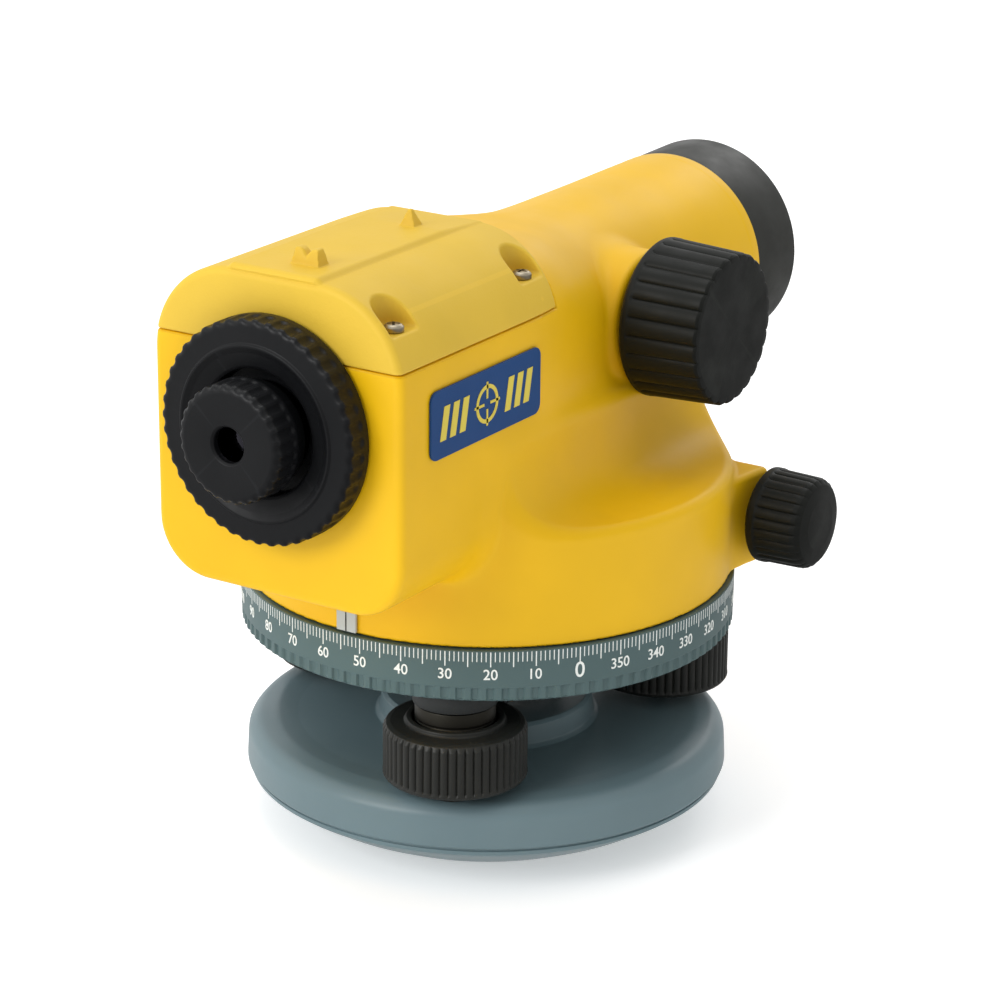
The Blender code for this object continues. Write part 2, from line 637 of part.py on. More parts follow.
# ---- reticle and eyepiece ---------------------------------------------------
def build_reticle():
    tube("reticle_cell", 9.0, 16.5, -66.0, -58.0, 20, BRASS, OPTIC_LINE)
    cylinder("reticle_glass", 8.7, -61.6, -60.0, 20, GLASS, OPTIC_LINE)


def build_eyepiece():
    seat_y = REAR_Y - 0.3
    lathe("eyepiece_ring", [
        (10.3, -70.5), (14.5, -70.5), (14.5, seat_y), (24.8, seat_y), (24.8, -85.0),
        (24.8, -85.4, 1), (24.8, -90.0, 1), (24.0, -90.6), (19.3, -90.6), (19.0, -91.1),
        (13.9, -89.4), (13.9, -85.2), (10.3, -85.2)], 48, BLACK, OPTIC_LINE, rib=0.9)
    tube("eyepiece_cell", 8.1, 9.6, EYE_Y + 2.4, -72.0, 18, DARK, OPTIC_LINE)
    lathe("eye_lens", [(0, EYE_Y + 4.2), (7.7, EYE_Y + 5.4), (7.7, EYE_Y + 7.8),
                       (0, EYE_Y + 8.0)], 18, GLASS, OPTIC_LINE)
    lathe("field_lens", [(0, -78.6), (7.7, -78.6), (7.7, -76.6), (0, -75.2)],
          18, GLASS, OPTIC_LINE)
    lathe("eyepiece_knob", [
        (3.9, EYE_Y + 2.0), (9.9, EYE_Y + 2.0), (9.9, -88.6), (11.8, -88.6), (12.6, -92.2),
        (13.1, -92.6, 1), (13.1, EYE_Y + 0.7, 1), (12.4, EYE_Y), (4.3, EYE_Y),
        (3.9, EYE_Y + 0.4)], 32, BLACK, OPTIC_LINE, rib=0.7)


# ---- tangent drive ----------------------------------------------------------
def worm_thread():
    """One-start right-hand thread."""
    lead = math.pi * WHEEL_MODULE
    # Thread profile: (x offset, height above the pitch radius)
    profile = ((-1.0, -1.30), (-0.26, 0.85), (0.26, 0.85), (1.0, -1.30))
    loops = []
    for i in range(int(WORM_TURNS * WORM_POINTS) + 1):
        turn = i / WORM_POINTS
        angle = 2 * math.pi * turn + math.pi - math.pi * WORM_TURNS
        x = lead * (turn - WORM_TURNS / 2)
        c, s = math.cos(angle), math.sin(angle)
        loops.append([(x + dx, TANGENT_Y + (WORM_R + rise) * c, TANGENT_Z + (WORM_R + rise) * s)
                      for dx, rise in profile])
    return skin("add_thread", loops)


def build_tangent_drive():
    cylinder("tangent_shaft", SHAFT_R, -68.0, 68.0, 12, STEEL, TANGENT_LINE)
    worm = cylinder("tangent_worm", 2.9, -7.5, 7.5, 18, BRASS, TANGENT_LINE)
    add(worm, worm_thread())
    cut(worm, cylinder("cut_worm", 2.45, -20, 20, 12, line=TANGENT_LINE))
    for key, side in (("right", 1), ("left", -1)):
        knob = lathe("tangent_knob_" + key, [
            (0, side * 56.5), (10.4, side * 56.5), (11.2, side * 57.3), (11.2, side * 59.0),
            (11.0, side * 59.5, 1), (10.7, side * 68.4, 1), (10.2, side * 69.6),
            (8.8, side * 70.6), (0, side * 71.0)], 36, BLACK, TANGENT_LINE, rib=0.55)
        cut(knob, cylinder("cut_knob_" + key, KNOB_BORE_R, side * 50, side * 68.3, 12,
                           line=TANGENT_LINE))


# ---- circular vial and mirror -----------------------------------------------
def build_vial():
    housing = lathe("vial_housing", [
        (0, 86.3), (10.5, 86.3), (10.5, 95.2), (9.9, 95.8), (8.9, 95.8), (8.9, 90.0),
        (0, 90.0)], 24, BLACK, VIAL_LINE)
    for key, side in LEFT_RIGHT:
        inner, outer = VIAL_X + side * 7.0, VIAL_X + side * 9.0
        add(housing, box("add_foot_" + key, sorted((inner, outer)),
                         (VIAL_Y + 6.2, HINGE_Y + 1.6), (93.2, 95.5)))
        add(housing, box("add_lug_" + key, sorted((inner - side * 0.05, outer + side * 0.05)),
                         (HINGE_Y - 1.6, HINGE_Y + 1.55), (94.0, HINGE_Z + 1.6)))
    cut(housing, cylinder("cut_lug_pin", 1.15, -60, -20, 10, line=HINGE_LINE))
    lathe("vial_glass", [(0, 90.3), (8.6, 90.3), (8.6, 94.9), (0, 95.8)],
          20, GLASS, VIAL_LINE)


def slab(name, along, half_width, normal, material=None):
    """Slab on the mirror plane, centred on the vial in X: along is its range up the
    plane from the hinge, normal its range square to the plane, towards the vial."""
    c, s = math.cos(MIRROR_TILT), math.sin(MIRROR_TILT)
    loops = []
    for n in normal:
        loops.append([(VIAL_X + side * half_width, HINGE_Y - t * c - n * s,
                       HINGE_Z + t * s - n * c)
                      for side, t in ((-1, along[0]), (1, along[0]),
                                      (1, along[1]), (-1, along[1]))])
    return skin(name, loops, material)


def build_mirror():
    frame = slab("mirror_frame", (3.6, 23.4), 9.4, (-1.4, 1.1), BLACK)
    add(frame, slab("add_mirror_ear", (-1.0, 4.2), 6.5, (-1.2, 0.95)))
    add(frame, cylinder("add_mirror_pin", 0.85, *span(VIAL_X, 9.3), 10, line=HINGE_LINE))
    cut(frame, slab("cut_mirror", (5.4, 21.9), 7.8, (0.0, 4.0)))
    slab("mirror_glass", (5.65, 21.65), 7.55, (0.15, 0.95), MIRROR)


# ---- origins on the joint axes ----------------------------------------------
def pivot(at, *names):
    """Move the named pieces' origins to a point, leaving their shape in place."""
    origin = Vector(at) * MM
    for name in names:
        ob = bpy.data.objects[name]
        ob.data.transform(Matrix.Translation(-origin))
        ob.location = origin


def set_origins():
    pivot((0, 0, BALL_Z), "preload_spring")
    # The tribrach's origin is midway between balls b and c
    (bx, by), (cx, cy) = FEET["b"], FEET["c"]
    pivot(((bx + cx) / 2, (by + cy) / 2, BALL_Z), "tribrach_plate", "spindle",
          "foot_bush_a", "foot_bush_b", "foot_bush_c")
    for key, (x, y) in FEET.items():
        pivot((x, y, BALL_Z), "foot_ball_" + key)
        pivot((x, y, 30.0), "foot_screw_" + key, "foot_knob_" + key)
    pivot((0, 0, 54.0), "horizontal_circle")
    pivot((0, 0, TANGENT_Z), "worm_wheel", "clutch_spring", "main_housing", "top_cover",
          "index_plate", "badge", "objective_hood", "objective_crown_lens",
          "objective_flint_lens", "compensator_frame", "roof_prism", "damping_magnet",
          "reticle_cell", "reticle_glass", "eyepiece_ring", "focus_bush", "vial_housing",
          "vial_glass", *[f"cover_screw_{i + 1}" for i in range(len(SCREW_XY))])
    pivot((0, TANGENT_Y, TANGENT_Z), "tangent_shaft", "tangent_worm",
          "tangent_knob_right", "tangent_knob_left")
    pivot((31.0, FOCUS_Y, FOCUS_Z), "focus_pinion", "focus_knob")
    pivot((0, 41.0, AXIS_Z), "focus_carriage", "focusing_lens", "focus_rack")
    pivot((0, -93.0, AXIS_Z), "eyepiece_cell", "eye_lens", "field_lens", "eyepiece_knob")
    pivot((0, PENDULUM_Y, PENDULUM_Z), "compensator_pendulum", "pendulum_prism")
    pivot((VIAL_X, HINGE_Y, HINGE_Z), "mirror_frame", "mirror_glass")


build_base()
build_preload_spring()
build_tribrach()
build_circle()
build_wheel()
build_clutch_spring()
build_housing()
build_markings()
build_cover()
build_objective()
build_focusing()
build_compensator()
build_reticle()
build_eyepiece()
build_tangent_drive()
build_vial()
build_mirror()
set_origins()
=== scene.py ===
"""Looks for a surveyor's automatic level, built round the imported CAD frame.

The vertical axis is x = y = 0 and the underside of the base is z = 0. The telescope
lies along Y: eyepiece at -Y, objective at +Y. The focus knob and badge are on the
+X side, the circular vial and its mirror on the -X side.

Lengths are millimetres in the frame and become metres when a mesh is made; the
floor, lights and camera are in metres.
"""
import json
import math
from functools import reduce

import bmesh
import bpy
import numpy as np
from mathutils import Matrix, Vector

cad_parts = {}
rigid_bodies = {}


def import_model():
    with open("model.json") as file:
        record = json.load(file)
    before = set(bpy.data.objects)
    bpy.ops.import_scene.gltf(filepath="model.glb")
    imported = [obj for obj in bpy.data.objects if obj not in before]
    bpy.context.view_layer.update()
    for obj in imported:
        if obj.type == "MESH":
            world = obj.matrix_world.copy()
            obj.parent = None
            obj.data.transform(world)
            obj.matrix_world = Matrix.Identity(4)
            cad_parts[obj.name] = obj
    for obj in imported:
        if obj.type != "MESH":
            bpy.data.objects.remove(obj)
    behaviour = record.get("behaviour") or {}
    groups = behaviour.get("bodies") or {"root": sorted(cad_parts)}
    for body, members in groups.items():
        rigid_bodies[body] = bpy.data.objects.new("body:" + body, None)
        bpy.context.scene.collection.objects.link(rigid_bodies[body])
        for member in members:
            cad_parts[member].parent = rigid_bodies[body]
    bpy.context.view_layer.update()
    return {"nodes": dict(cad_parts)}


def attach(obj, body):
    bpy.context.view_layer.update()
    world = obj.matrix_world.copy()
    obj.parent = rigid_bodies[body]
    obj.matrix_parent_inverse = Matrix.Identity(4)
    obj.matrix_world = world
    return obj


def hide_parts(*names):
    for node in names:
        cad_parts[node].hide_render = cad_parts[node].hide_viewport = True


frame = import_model()
MM = 0.001

# Places shared by several pieces.
SIGHT_Z = 116.6                               # height of the telescope's axis
SIGHT_AXIS = (0, 0, SIGHT_Z)
FOCUS_Y, FOCUS_Z = 23.3, 120.1                # focus knob axis, along X
TANGENT_Y, TANGENT_Z = 31.9, 74.3             # tangent screw axis, along X
VIAL_X, VIAL_Y = -46.5, -8.0                  # vertical axis of the circular vial
LID_SCREWS = [(x, y) for x in (25.6, -25.6) for y in (-76.4, -27.2)]
RING_RADIUS = 58.0                            # degree ring
FOOT_CIRCLE = 45.0                            # radius on which the feet stand
FOOT_ANGLES = {"a": -66.2, "b": 53.8, "c": 173.8}
FEET = {letter: (FOOT_CIRCLE * math.cos(math.radians(angle)),
                 FOOT_CIRCLE * math.sin(math.radians(angle)))
        for letter, angle in FOOT_ANGLES.items()}

# --------------------------------------------------------------------------
# materials
# --------------------------------------------------------------------------


def linear(rgb, gain=1.0):
    """Linear RGBA of an 8-bit sRGB colour, each channel times gain and held at 1."""
    def decode(channel):
        channel /= 255.0
        return channel / 12.92 if channel <= 0.04045 else ((channel + 0.055) / 1.055) ** 2.4
    return (*(min(decode(channel) * gain, 1) for channel in rgb), 1.0)


class Shader:
    """A Principled material whose textures are read in object space."""

    def __init__(self, name):
        self.material = bpy.data.materials.new(name)
        self.material.use_nodes = True
        self.tree = self.material.node_tree
        self.principled = self.tree.nodes["Principled BSDF"]
        self.coords = self.node("ShaderNodeTexCoord")

    def node(self, kind, **inputs):
        node = self.tree.nodes.new(kind)
        for key, value in inputs.items():
            node.inputs[key.replace("_", " ")].default_value = value
        return node

    def link(self, output, target):
        self.tree.links.new(output, target)

    def drive(self, **outputs):
        """Link outputs to Principled inputs."""
        for key, output in outputs.items():
            self.link(output, self.principled.inputs[key.replace("_", " ")])

    def set(self, **values):
        for key, value in values.items():
            self.principled.inputs[key.replace("_", " ")].default_value = value

    def noise(self, scale, detail=4.0, roughness=0.55, stretch=None):
        noise = self.node("ShaderNodeTexNoise", Scale=scale, Detail=detail, Roughness=roughness)
        vector = self.coords.outputs["Object"]
        if stretch:
            mapping = self.node("ShaderNodeMapping", Scale=stretch)
            self.link(vector, mapping.inputs["Vector"])
            vector = mapping.outputs["Vector"]
        self.link(vector, noise.inputs["Vector"])
        return noise.outputs["Fac"]

    def ramp(self, factor, low, high, start=0.3, end=0.7):
        """Colour running from low at start to high at end."""
        ramp = self.node("ShaderNodeValToRGB")
        first, last = ramp.color_ramp.elements
        first.position, first.color = start, low
        last.position, last.color = end, high
        self.link(factor, ramp.inputs["Fac"])
        return ramp.outputs["Color"]

    def remap(self, factor, low, high, start=0.35, end=0.65):
        """Value running from low at start to high at end."""
        remap = self.node("ShaderNodeMapRange", From_Min=start, From_Max=end,
                          To_Min=low, To_Max=high)
        self.link(factor, remap.inputs["Value"])
        return remap.outputs["Result"]

    def worn_edges(self, colour, highlight_colour, amount, start, end):
        """Paint a highlight: mix the paler colour in along sharp convex edges."""
        geometry = self.node("ShaderNodeNewGeometry")
        edge = self.remap(geometry.outputs["Pointiness"], 0.0, amount, start, end)
        mix = self.node("ShaderNodeMix")
        mix.data_type = "RGBA"
        self.link(edge, mix.inputs[0])
        self.link(colour, mix.inputs[6])
        mix.inputs[7].default_value = highlight_colour
        return mix.outputs[2]

    def bump(self, height, strength, depth, normal=None):
        """Bump of a depth in millimetres, laid over an earlier one if given."""
        bump = self.node("ShaderNodeBump", Strength=strength, Distance=depth * MM)
        self.link(height, bump.inputs["Height"])
        if normal:
            self.link(normal, bump.inputs["Normal"])
        self.drive(Normal=bump.outputs["Normal"])
        return bump.outputs["Normal"]


def paint(name, rgb, roughness, grain=900, grain_depth=0.02, peel=440, peel_depth=0.03,
          coat=0.0, drift=0.05, specular=0.5):
    """Sprayed paint: slow colour drift, orange peel, fine grain, painted highlight along the
    edges.

    grain and peel are noise scales; depths are millimetres.
    """
    s = Shader(name)
    colour = s.ramp(s.noise(28.0, detail=3.0), linear(rgb, 1 - drift), linear(rgb, 1 + drift))
    # painted highlight: sharp convex edges are made paler, as if they caught the light
    colour = s.worn_edges(colour, linear(rgb, 1.16), amount=0.35, start=0.52, end=0.60)
    s.drive(Base_Color=colour)
    fine = s.noise(grain, detail=2.0)
    s.drive(Roughness=s.remap(s.noise(60.0, detail=5.0), roughness - 0.04, roughness + 0.05))
    peeled = s.bump(s.noise(peel, detail=2.0), strength=0.6, depth=peel_depth)
    s.bump(fine, strength=0.5, depth=grain_depth, normal=peeled)
    s.set(Coat_Weight=coat, Coat_Roughness=0.25, Specular_IOR_Level=specular)
    return s.material


def plastic(name, rgb, roughness, grain=1500, grain_depth=0.03, drift=0.12, specular=0.5):
    """Moulded or turned black: fine spark texture, uneven tone, painted highlight along the
    edges.
    """
    s = Shader(name)
    colour = s.ramp(s.noise(90.0, detail=6.0, roughness=0.65),
                    linear(rgb, 1 - drift), linear(rgb, 1 + drift * 2), end=0.75)
    # painted highlight: sharp convex edges are made much paler, as if they caught the light
    colour = s.worn_edges(colour, linear(rgb, 2.1), amount=0.55, start=0.53, end=0.62)
    s.drive(Base_Color=colour)
    s.drive(Roughness=s.remap(s.noise(140.0, detail=5.0), roughness - 0.06, roughness + 0.07))
    s.bump(s.noise(grain, detail=2.0), strength=0.5, depth=grain_depth)
    s.set(Specular_IOR_Level=specular)
    return s.material


def metal(name, rgb, roughness):
    """Turned metal: fine lines round the vertical axis."""
    s = Shader(name)
    lines = s.noise(700.0, detail=3.0, roughness=0.6, stretch=(1, 1, 60))
    s.drive(Base_Color=s.ramp(lines, linear(rgb, 0.86), linear(rgb, 1.08)))
    s.drive(Roughness=s.remap(lines, roughness - 0.06, roughness + 0.1))
    s.bump(lines, strength=0.5, depth=0.006)
    s.set(Metallic=1.0)
    return s.material


def glass(name, rgb, coat_tint):
    s = Shader(name)
    s.drive(Base_Color=s.ramp(s.noise(40.0, detail=2.0), linear(rgb, 0.97), linear(rgb)))
    s.set(Roughness=0.02, Transmission_Weight=1.0, IOR=1.5, Coat_Weight=0.6,
          Coat_Roughness=0.02, Coat_Tint=(*coat_tint, 1))
    return s.material


def silvered(name):
    s = Shader(name)
    s.drive(Roughness=s.remap(s.noise(55.0), 0.015, 0.05))
    s.set(Base_Color=(0.9, 0.92, 0.92, 1), Metallic=1.0)
    return s.material


def liquid(name):
    """Yellow-green vial liquid with a faint painted glow that brightens it."""
    s = Shader(name)
    colour = s.ramp(s.noise(30.0), linear((196, 226, 96)), linear((206, 234, 112)))
    s.drive(Base_Color=colour)
    # the emission is a painted glow: it makes the liquid brighter though it gives no light of
    # its own
    s.set(Roughness=0.1, Transmission_Weight=0.1, IOR=1.36,
          Emission_Color=linear((170, 205, 60)), Emission_Strength=0.12)
    return s.material


YELLOW = paint("yellow_paint", (234, 184, 9), roughness=0.44, grain=1400, grain_depth=0.012,
               peel_depth=0.018, specular=0.28)
COVER_YELLOW = paint("yellow_cover_paint", (222, 184, 56), roughness=0.56, grain=1500,
                     grain_depth=0.08, peel=880, peel_depth=0.05, specular=0.35)
DIAL_GREY = paint("grey_dial_paint", (80, 102, 103), roughness=0.45, grain=1500,
                  grain_depth=0.012, peel_depth=0.01, coat=0.05, specular=0.35)
BASE_GREY = paint("grey_base_paint", (104, 125, 131), roughness=0.40, grain=1300,
                  coat=0.12, specular=0.4)
# painted shade: the tribrach is coloured near black to stand for the shade under the degree ring
UNDER_RING_SHADE_GREY = paint("tribrach_painted_shade", (40, 43, 43), roughness=0.5, grain_depth=0.05)
KNOB_BLACK = plastic("knob_black", (20, 22, 19), roughness=0.50, drift=0.05, specular=0.2)
FOOT_BLACK = plastic("foot_knob_black", (37, 38, 35), roughness=0.46, drift=0.08, specular=0.35)
SLEEVE_METAL = metal("dark_sleeve", (66, 64, 58), roughness=0.42)
EYE_BLACK = plastic("eyepiece_black", (17, 18, 20), roughness=0.42, drift=0.08, specular=0.24)
HOOD_BLACK = plastic("hood_black_anodised", (41, 42, 38), roughness=0.45, grain=2200,
                     grain_depth=0.012, drift=0.04, specular=0.3)
FLAT_BLACK = plastic("flat_black", (22, 22, 22), roughness=0.6)
STEEL = metal("turned_steel", (176, 176, 178), roughness=0.26)
DULL_STEEL = metal("dull_steel", (168, 158, 138), roughness=0.34)
BRASS = metal("brass", (196, 160, 92), roughness=0.28)
BLACK_ALLOY = metal("black_anodised", (46, 47, 49), roughness=0.42)
GLASS = glass("optical_glass", (236, 244, 246), coat_tint=(0.2, 0.35, 0.6))
COATED_GLASS = glass("coated_objective", (120, 150, 170), coat_tint=(0.25, 0.2, 0.6))
PRINT_WHITE = paint("printed_white", (226, 230, 226), roughness=0.5, grain_depth=0.004,
                    peel_depth=0.004, drift=0.02)
INDEX_WHITE = paint("index_white", (174, 180, 178), roughness=0.4, grain_depth=0.01,
                    peel_depth=0.01, drift=0.03)
PRINT_BLACK = paint("printed_black", (22, 24, 24), roughness=0.5, grain_depth=0.004,
                    peel_depth=0.004)
BADGE_BLUE = paint("badge_blue", (26, 68, 122), roughness=0.45, grain=1600, peel_depth=0.01,
                   specular=0.2)
BADGE_YELLOW = paint("badge_yellow", (214, 194, 70), roughness=0.45, grain_depth=0.01,
                     peel_depth=0.01)
SILVER = silvered("mirror_silver")
LIQUID = liquid("vial_liquid")

# --------------------------------------------------------------------------
# mesh tools
# --------------------------------------------------------------------------
BOX_FACES = [(0, 3, 2, 1), (4, 5, 6, 7), (0, 1, 5, 4), (1, 2, 6, 5), (2, 3, 7, 6), (3, 0, 4, 7)]


def put(name, mesh, material, body, replaces=None, sharp=None):
    """Make an object riding on a body; sharp is the smooth-shading limit in degrees."""
    ob = bpy.data.objects.new(name, mesh)
    bpy.context.scene.collection.objects.link(ob)
    mesh.materials.append(material)
    if sharp:
        shade(mesh, sharp)
    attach(ob, body)
    if replaces:
        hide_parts(replaces)
    return ob


def shade(mesh, sharp):
    mesh.shade_smooth()
    mesh.set_sharp_from_angle(angle=math.radians(sharp))


def mesh_of(name, points, faces):
    mesh = bpy.data.meshes.new(name)
    mesh.from_pydata((np.asarray(points, float) * MM).tolist(), [], faces)
    mesh.validate()
    mesh.update()
    return mesh


def face_outwards(mesh):
    bm = bmesh.new()
    bm.from_mesh(mesh)
    bmesh.ops.recalc_face_normals(bm, faces=bm.faces)
    if bm.calc_volume(signed=True) < 0:
        bmesh.ops.reverse_faces(bm, faces=bm.faces)
    bm.to_mesh(mesh)
    bm.free()
    mesh.update()


def full_turn(segments):
    return 2 * np.pi * np.arange(segments) / segments


def around(radius, angle, height, origin=(0, 0, 0), axis="Z"):
    """Points at a radius and angle about an axis and a height along it."""
    u, w, h = np.broadcast_arrays(radius * np.cos(angle), radius * np.sin(angle), height)
    x, y, z = origin
    places = {"Z": (x + u, y + w, z + h), "Y": (x + u, y + h, z + w), "X": (x + h, y + u, z + w)}
    return np.stack(places[axis], -1)


def loft(name, rings, closed):
    """Skin over rings of points; closed joins last to first, otherwise the ends are capped."""
    seg, count = len(rings[0]), len(rings)
    here = np.arange(seg)
    after = (here + 1) % seg
    faces = []
    for a in range(count if closed else count - 1):
        b = (a + 1) % count
        quads = (a * seg + here, a * seg + after, b * seg + after, b * seg + here)
        faces += np.stack(quads, 1).tolist()
    if not closed:
        faces.append(list(range(seg))[::-1])
        faces.append(list(range((count - 1) * seg, count * seg)))
    mesh = mesh_of(name, np.concatenate(rings), faces)
    face_outwards(mesh)
    return mesh


def fillet(profile, steps, closed):
    """Round a profile's corners: (r, h[, corner radius[, rib share]]) to (r, h, rib share)."""
    out = []
    last = len(profile) - 1
    for i, point in enumerate(profile):
        radius, share = (list(point[2:]) + [0.0, 0.0])[:2]
        corner = np.array(point[:2], float)
        if radius <= 0 or (not closed and i in (0, last)):
            out.append((*corner, share))
            continue
        back = np.array(profile[i - 1][:2], float) - corner
        ahead = np.array(profile[(i + 1) % len(profile)][:2], float) - corner
        back_length, ahead_length = np.linalg.norm(back), np.linalg.norm(ahead)
        back, ahead = back / back_length, ahead / ahead_length
        angle = math.acos(max(-1, min(1, float(back @ ahead))))
        if angle > math.pi - 0.02:
            out.append((*corner, share))
            continue
        trim = min(radius / math.tan(angle / 2), 0.49 * back_length, 0.49 * ahead_length)
        radius = trim * math.tan(angle / 2)
        bisector = (back + ahead) / np.linalg.norm(back + ahead)
        centre = corner + bisector * (radius / math.sin(angle / 2))
        start, end = corner + back * trim - centre, corner + ahead * trim - centre
        sweep = math.acos(max(-1, min(1, float(start @ end) / (radius * radius))))
        for k in range(steps + 1):
            s = k / steps
            arm = math.sin((1 - s) * sweep) * start + math.sin(s * sweep) * end
            out.append((*(centre + arm / math.sin(sweep)), share))
    return out


def revolve(name, profile, material, body, origin=(0, 0, 0), axis="Z", seg=96, replaces=None,
            closed=True, rib=None, steps=4, sharp=38):
    """Revolve a filleted profile; rib(angle, h) times the rib share is taken off the radius."""
    turn = full_turn(seg)
    rings = []
    for r, h, share in fillet(profile, steps, closed):
        radius = r - share * rib(turn, h) if share else r
        rings.append(around(radius, turn, h, origin, axis))
    return put(name, loft(name, rings, closed), material, body, replaces, sharp)


def flutes(count, rim, ball, outset, ball_h):
    """Ball-nosed flutes: the ball's centre is outset from the rim at ball_h and the
    flute runs on towards lower h."""
    def depth(turn, h):
        across = (np.mod(turn * count / (2 * np.pi), 1.0) - 0.5) * 2 * np.pi * rim / count
        along = max(0.0, h - ball_h)
        square = ball * ball - across * across - along * along
        return np.maximum(np.sqrt(np.maximum(square, 0)) - outset, 0)
    return depth


def bars(count, depth, fullness):
    """Rounded bars side by side with V grooves between them."""
    def groove(turn, _h):
        f = np.mod(turn * count / (2 * np.pi), 1.0) - 0.5
        return depth * (1 - np.sqrt(np.clip(1 - (2 * f) ** 2 * fullness, 0, 1)))
    return groove


def cylinder(radius, h0, h1, origin=(0, 0, 0), axis="Z", seg=48):
    turn = full_turn(seg)
    return loft("tmp", [around(radius, turn, h, origin, axis) for h in (h0, h1)], closed=False)


def box_corners(low, high):
    (x0, y0, z0), (x1, y1, z1) = low, high
    return [(x, y, z) for z in (z0, z1) for x, y in ((x0, y0), (x1, y0), (x1, y1), (x0, y1))]


def box(low, high, name="tmp"):
    return mesh_of(name, box_corners(low, high), BOX_FACES)


def prism_x(name, outlines, x0, x1):
    """Outlines of (y, z) points drawn out from x0 to x1."""
    points, faces = [], []
    for outline in outlines:
        first, m = len(points), len(outline)
        points += [(x, y, z) for x in (x0, x1) for y, z in outline]
        for q in range(m):
            r = (q + 1) % m
            faces.append([first + q, first + r, first + m + r, first + m + q])
        faces.append(list(range(first, first + m))[::-1])
        faces.append(list(range(first + m, first + 2 * m)))
    mesh = mesh_of(name, points, faces)
    face_outwards(mesh)
    return mesh


def cut(ob, cutters):
    """Take the cutter meshes out of an object, one after the other."""
    for cutter_mesh in cutters:
        cutter = bpy.data.objects.new("tmp_cut", cutter_mesh)
        bpy.context.scene.collection.objects.link(cutter)
        cutter.parent = ob.parent
        boolean = ob.modifiers.new("cut", "BOOLEAN")
        boolean.object = cutter
        boolean.operation = "DIFFERENCE"
        boolean.solver = "EXACT"
        bpy.context.view_layer.update()
        depsgraph = bpy.context.evaluated_depsgraph_get()
        new = bpy.data.meshes.new_from_object(ob.evaluated_get(depsgraph))
        ob.modifiers.remove(boolean)
        old = ob.data
        ob.data = new
        bpy.data.objects.remove(cutter)
        bpy.data.meshes.remove(old)
    shade(ob.data, 38)


def bevel(ob, width, segments=3):
    modifier = ob.modifiers.new("bevel", "BEVEL")
    modifier.width = width * MM
    modifier.segments = segments
    modifier.limit_method = "ANGLE"
    modifier.angle_limit = math.radians(32)


# --------------------------------------------------------------------------
# implicit shapes: fields in millimetres, negative inside
# --------------------------------------------------------------------------


def join(*fields):
    return reduce(np.minimum, fields)


def meet(*fields):
    return reduce(np.maximum, fields)


def smooth_join(a, b, soft):
    h = np.clip(0.5 + 0.5 * (b - a) / soft, 0, 1)
    return b * (1 - h) + a * h - soft * h * (1 - h)


def smooth_meet(a, b, soft):
    return -smooth_join(-a, -b, soft)


def quadrant(a, b):
    """Distance from the corner region a < 0, b < 0."""
    return np.hypot(np.maximum(a, 0), np.maximum(b, 0)) + np.minimum(np.maximum(a, b), 0)


def round_meet(a, b, edge):
    """Intersection with its edge rounded to a radius."""
    return quadrant(a + edge, b + edge) - edge


def rod(u, w, radius):
    return np.hypot(u, w) - radius


def between(v, low, high):
    return np.maximum(low - v, v - high)


def ease(v, start, end):
    """Smooth step from 0 at start to 1 at end."""
    t = np.clip((v - start) / (end - start), 0, 1)
    return t * t * (3 - 2 * t)


def blend(a, b, t):
    return a + (b - a) * t


def rounded_box(u, w, half, low, high, high_radius, low_radius):
    """Rounded rectangle |u| < half, low < w < high."""
    mid = 0.5 * (low + high)
    r = np.where(w > mid, high_radius, low_radius)
    return quadrant(np.abs(u) - (half - r), np.abs(w - mid) - (0.5 * (high - low) - r)) - r


# --------------------------------------------------------------------------
# main casting and its cover
# --------------------------------------------------------------------------
TUBE_RADIUS = 25.3              # barrel, growing a little towards the objective
TUBE_GROWTH = 0.25
BOX_HALF_WIDTH = 32.3
BOX_BOTTOM, BOX_TOP = 77.5, 149.2
BOX_REAR_Y = -83.2
BOX_TOP_RADIUS, BOX_LOW_RADIUS = 21.0, 13.0
NECK_TOP, NECK_RADIUS = 144.9, 17.0       # top just in front of the cover
DRUM_RADIUS = 57.0
DRUM_BORE = 53.6
CLEAR_RADIUS = 1.8                        # cover screw holes


def telescope(x, y, z, lid=False):
    """Cross-section of the telescope: a box behind, round in front. With lid, the
    top keeps the box's height and radius."""
    tube = TUBE_RADIUS + TUBE_GROWTH * ease(y, 45.0, 78.0)
    half = blend(BOX_HALF_WIDTH, tube, ease(y, -34.0, 30.0))
    lower = ease(y, -22.0, 38.0)
    bottom = blend(BOX_BOTTOM, SIGHT_Z - tube, lower)
    low_radius = np.minimum(blend(BOX_LOW_RADIUS, tube, lower), half)
    if lid:
        top, top_radius = BOX_TOP, BOX_TOP_RADIUS
    else:
        front = ease(y, -25.0, -20.4)
        top = blend(BOX_TOP, blend(NECK_TOP, SIGHT_Z + tube, ease(y, -24.0, 20.0)), front)
        neck_radius = blend(NECK_RADIUS, tube, ease(y, -20.0, 16.0))
        top_radius = np.minimum(blend(BOX_TOP_RADIUS, neck_radius, front), half)
    return rounded_box(x, z, half, bottom, top, top_radius, low_radius)


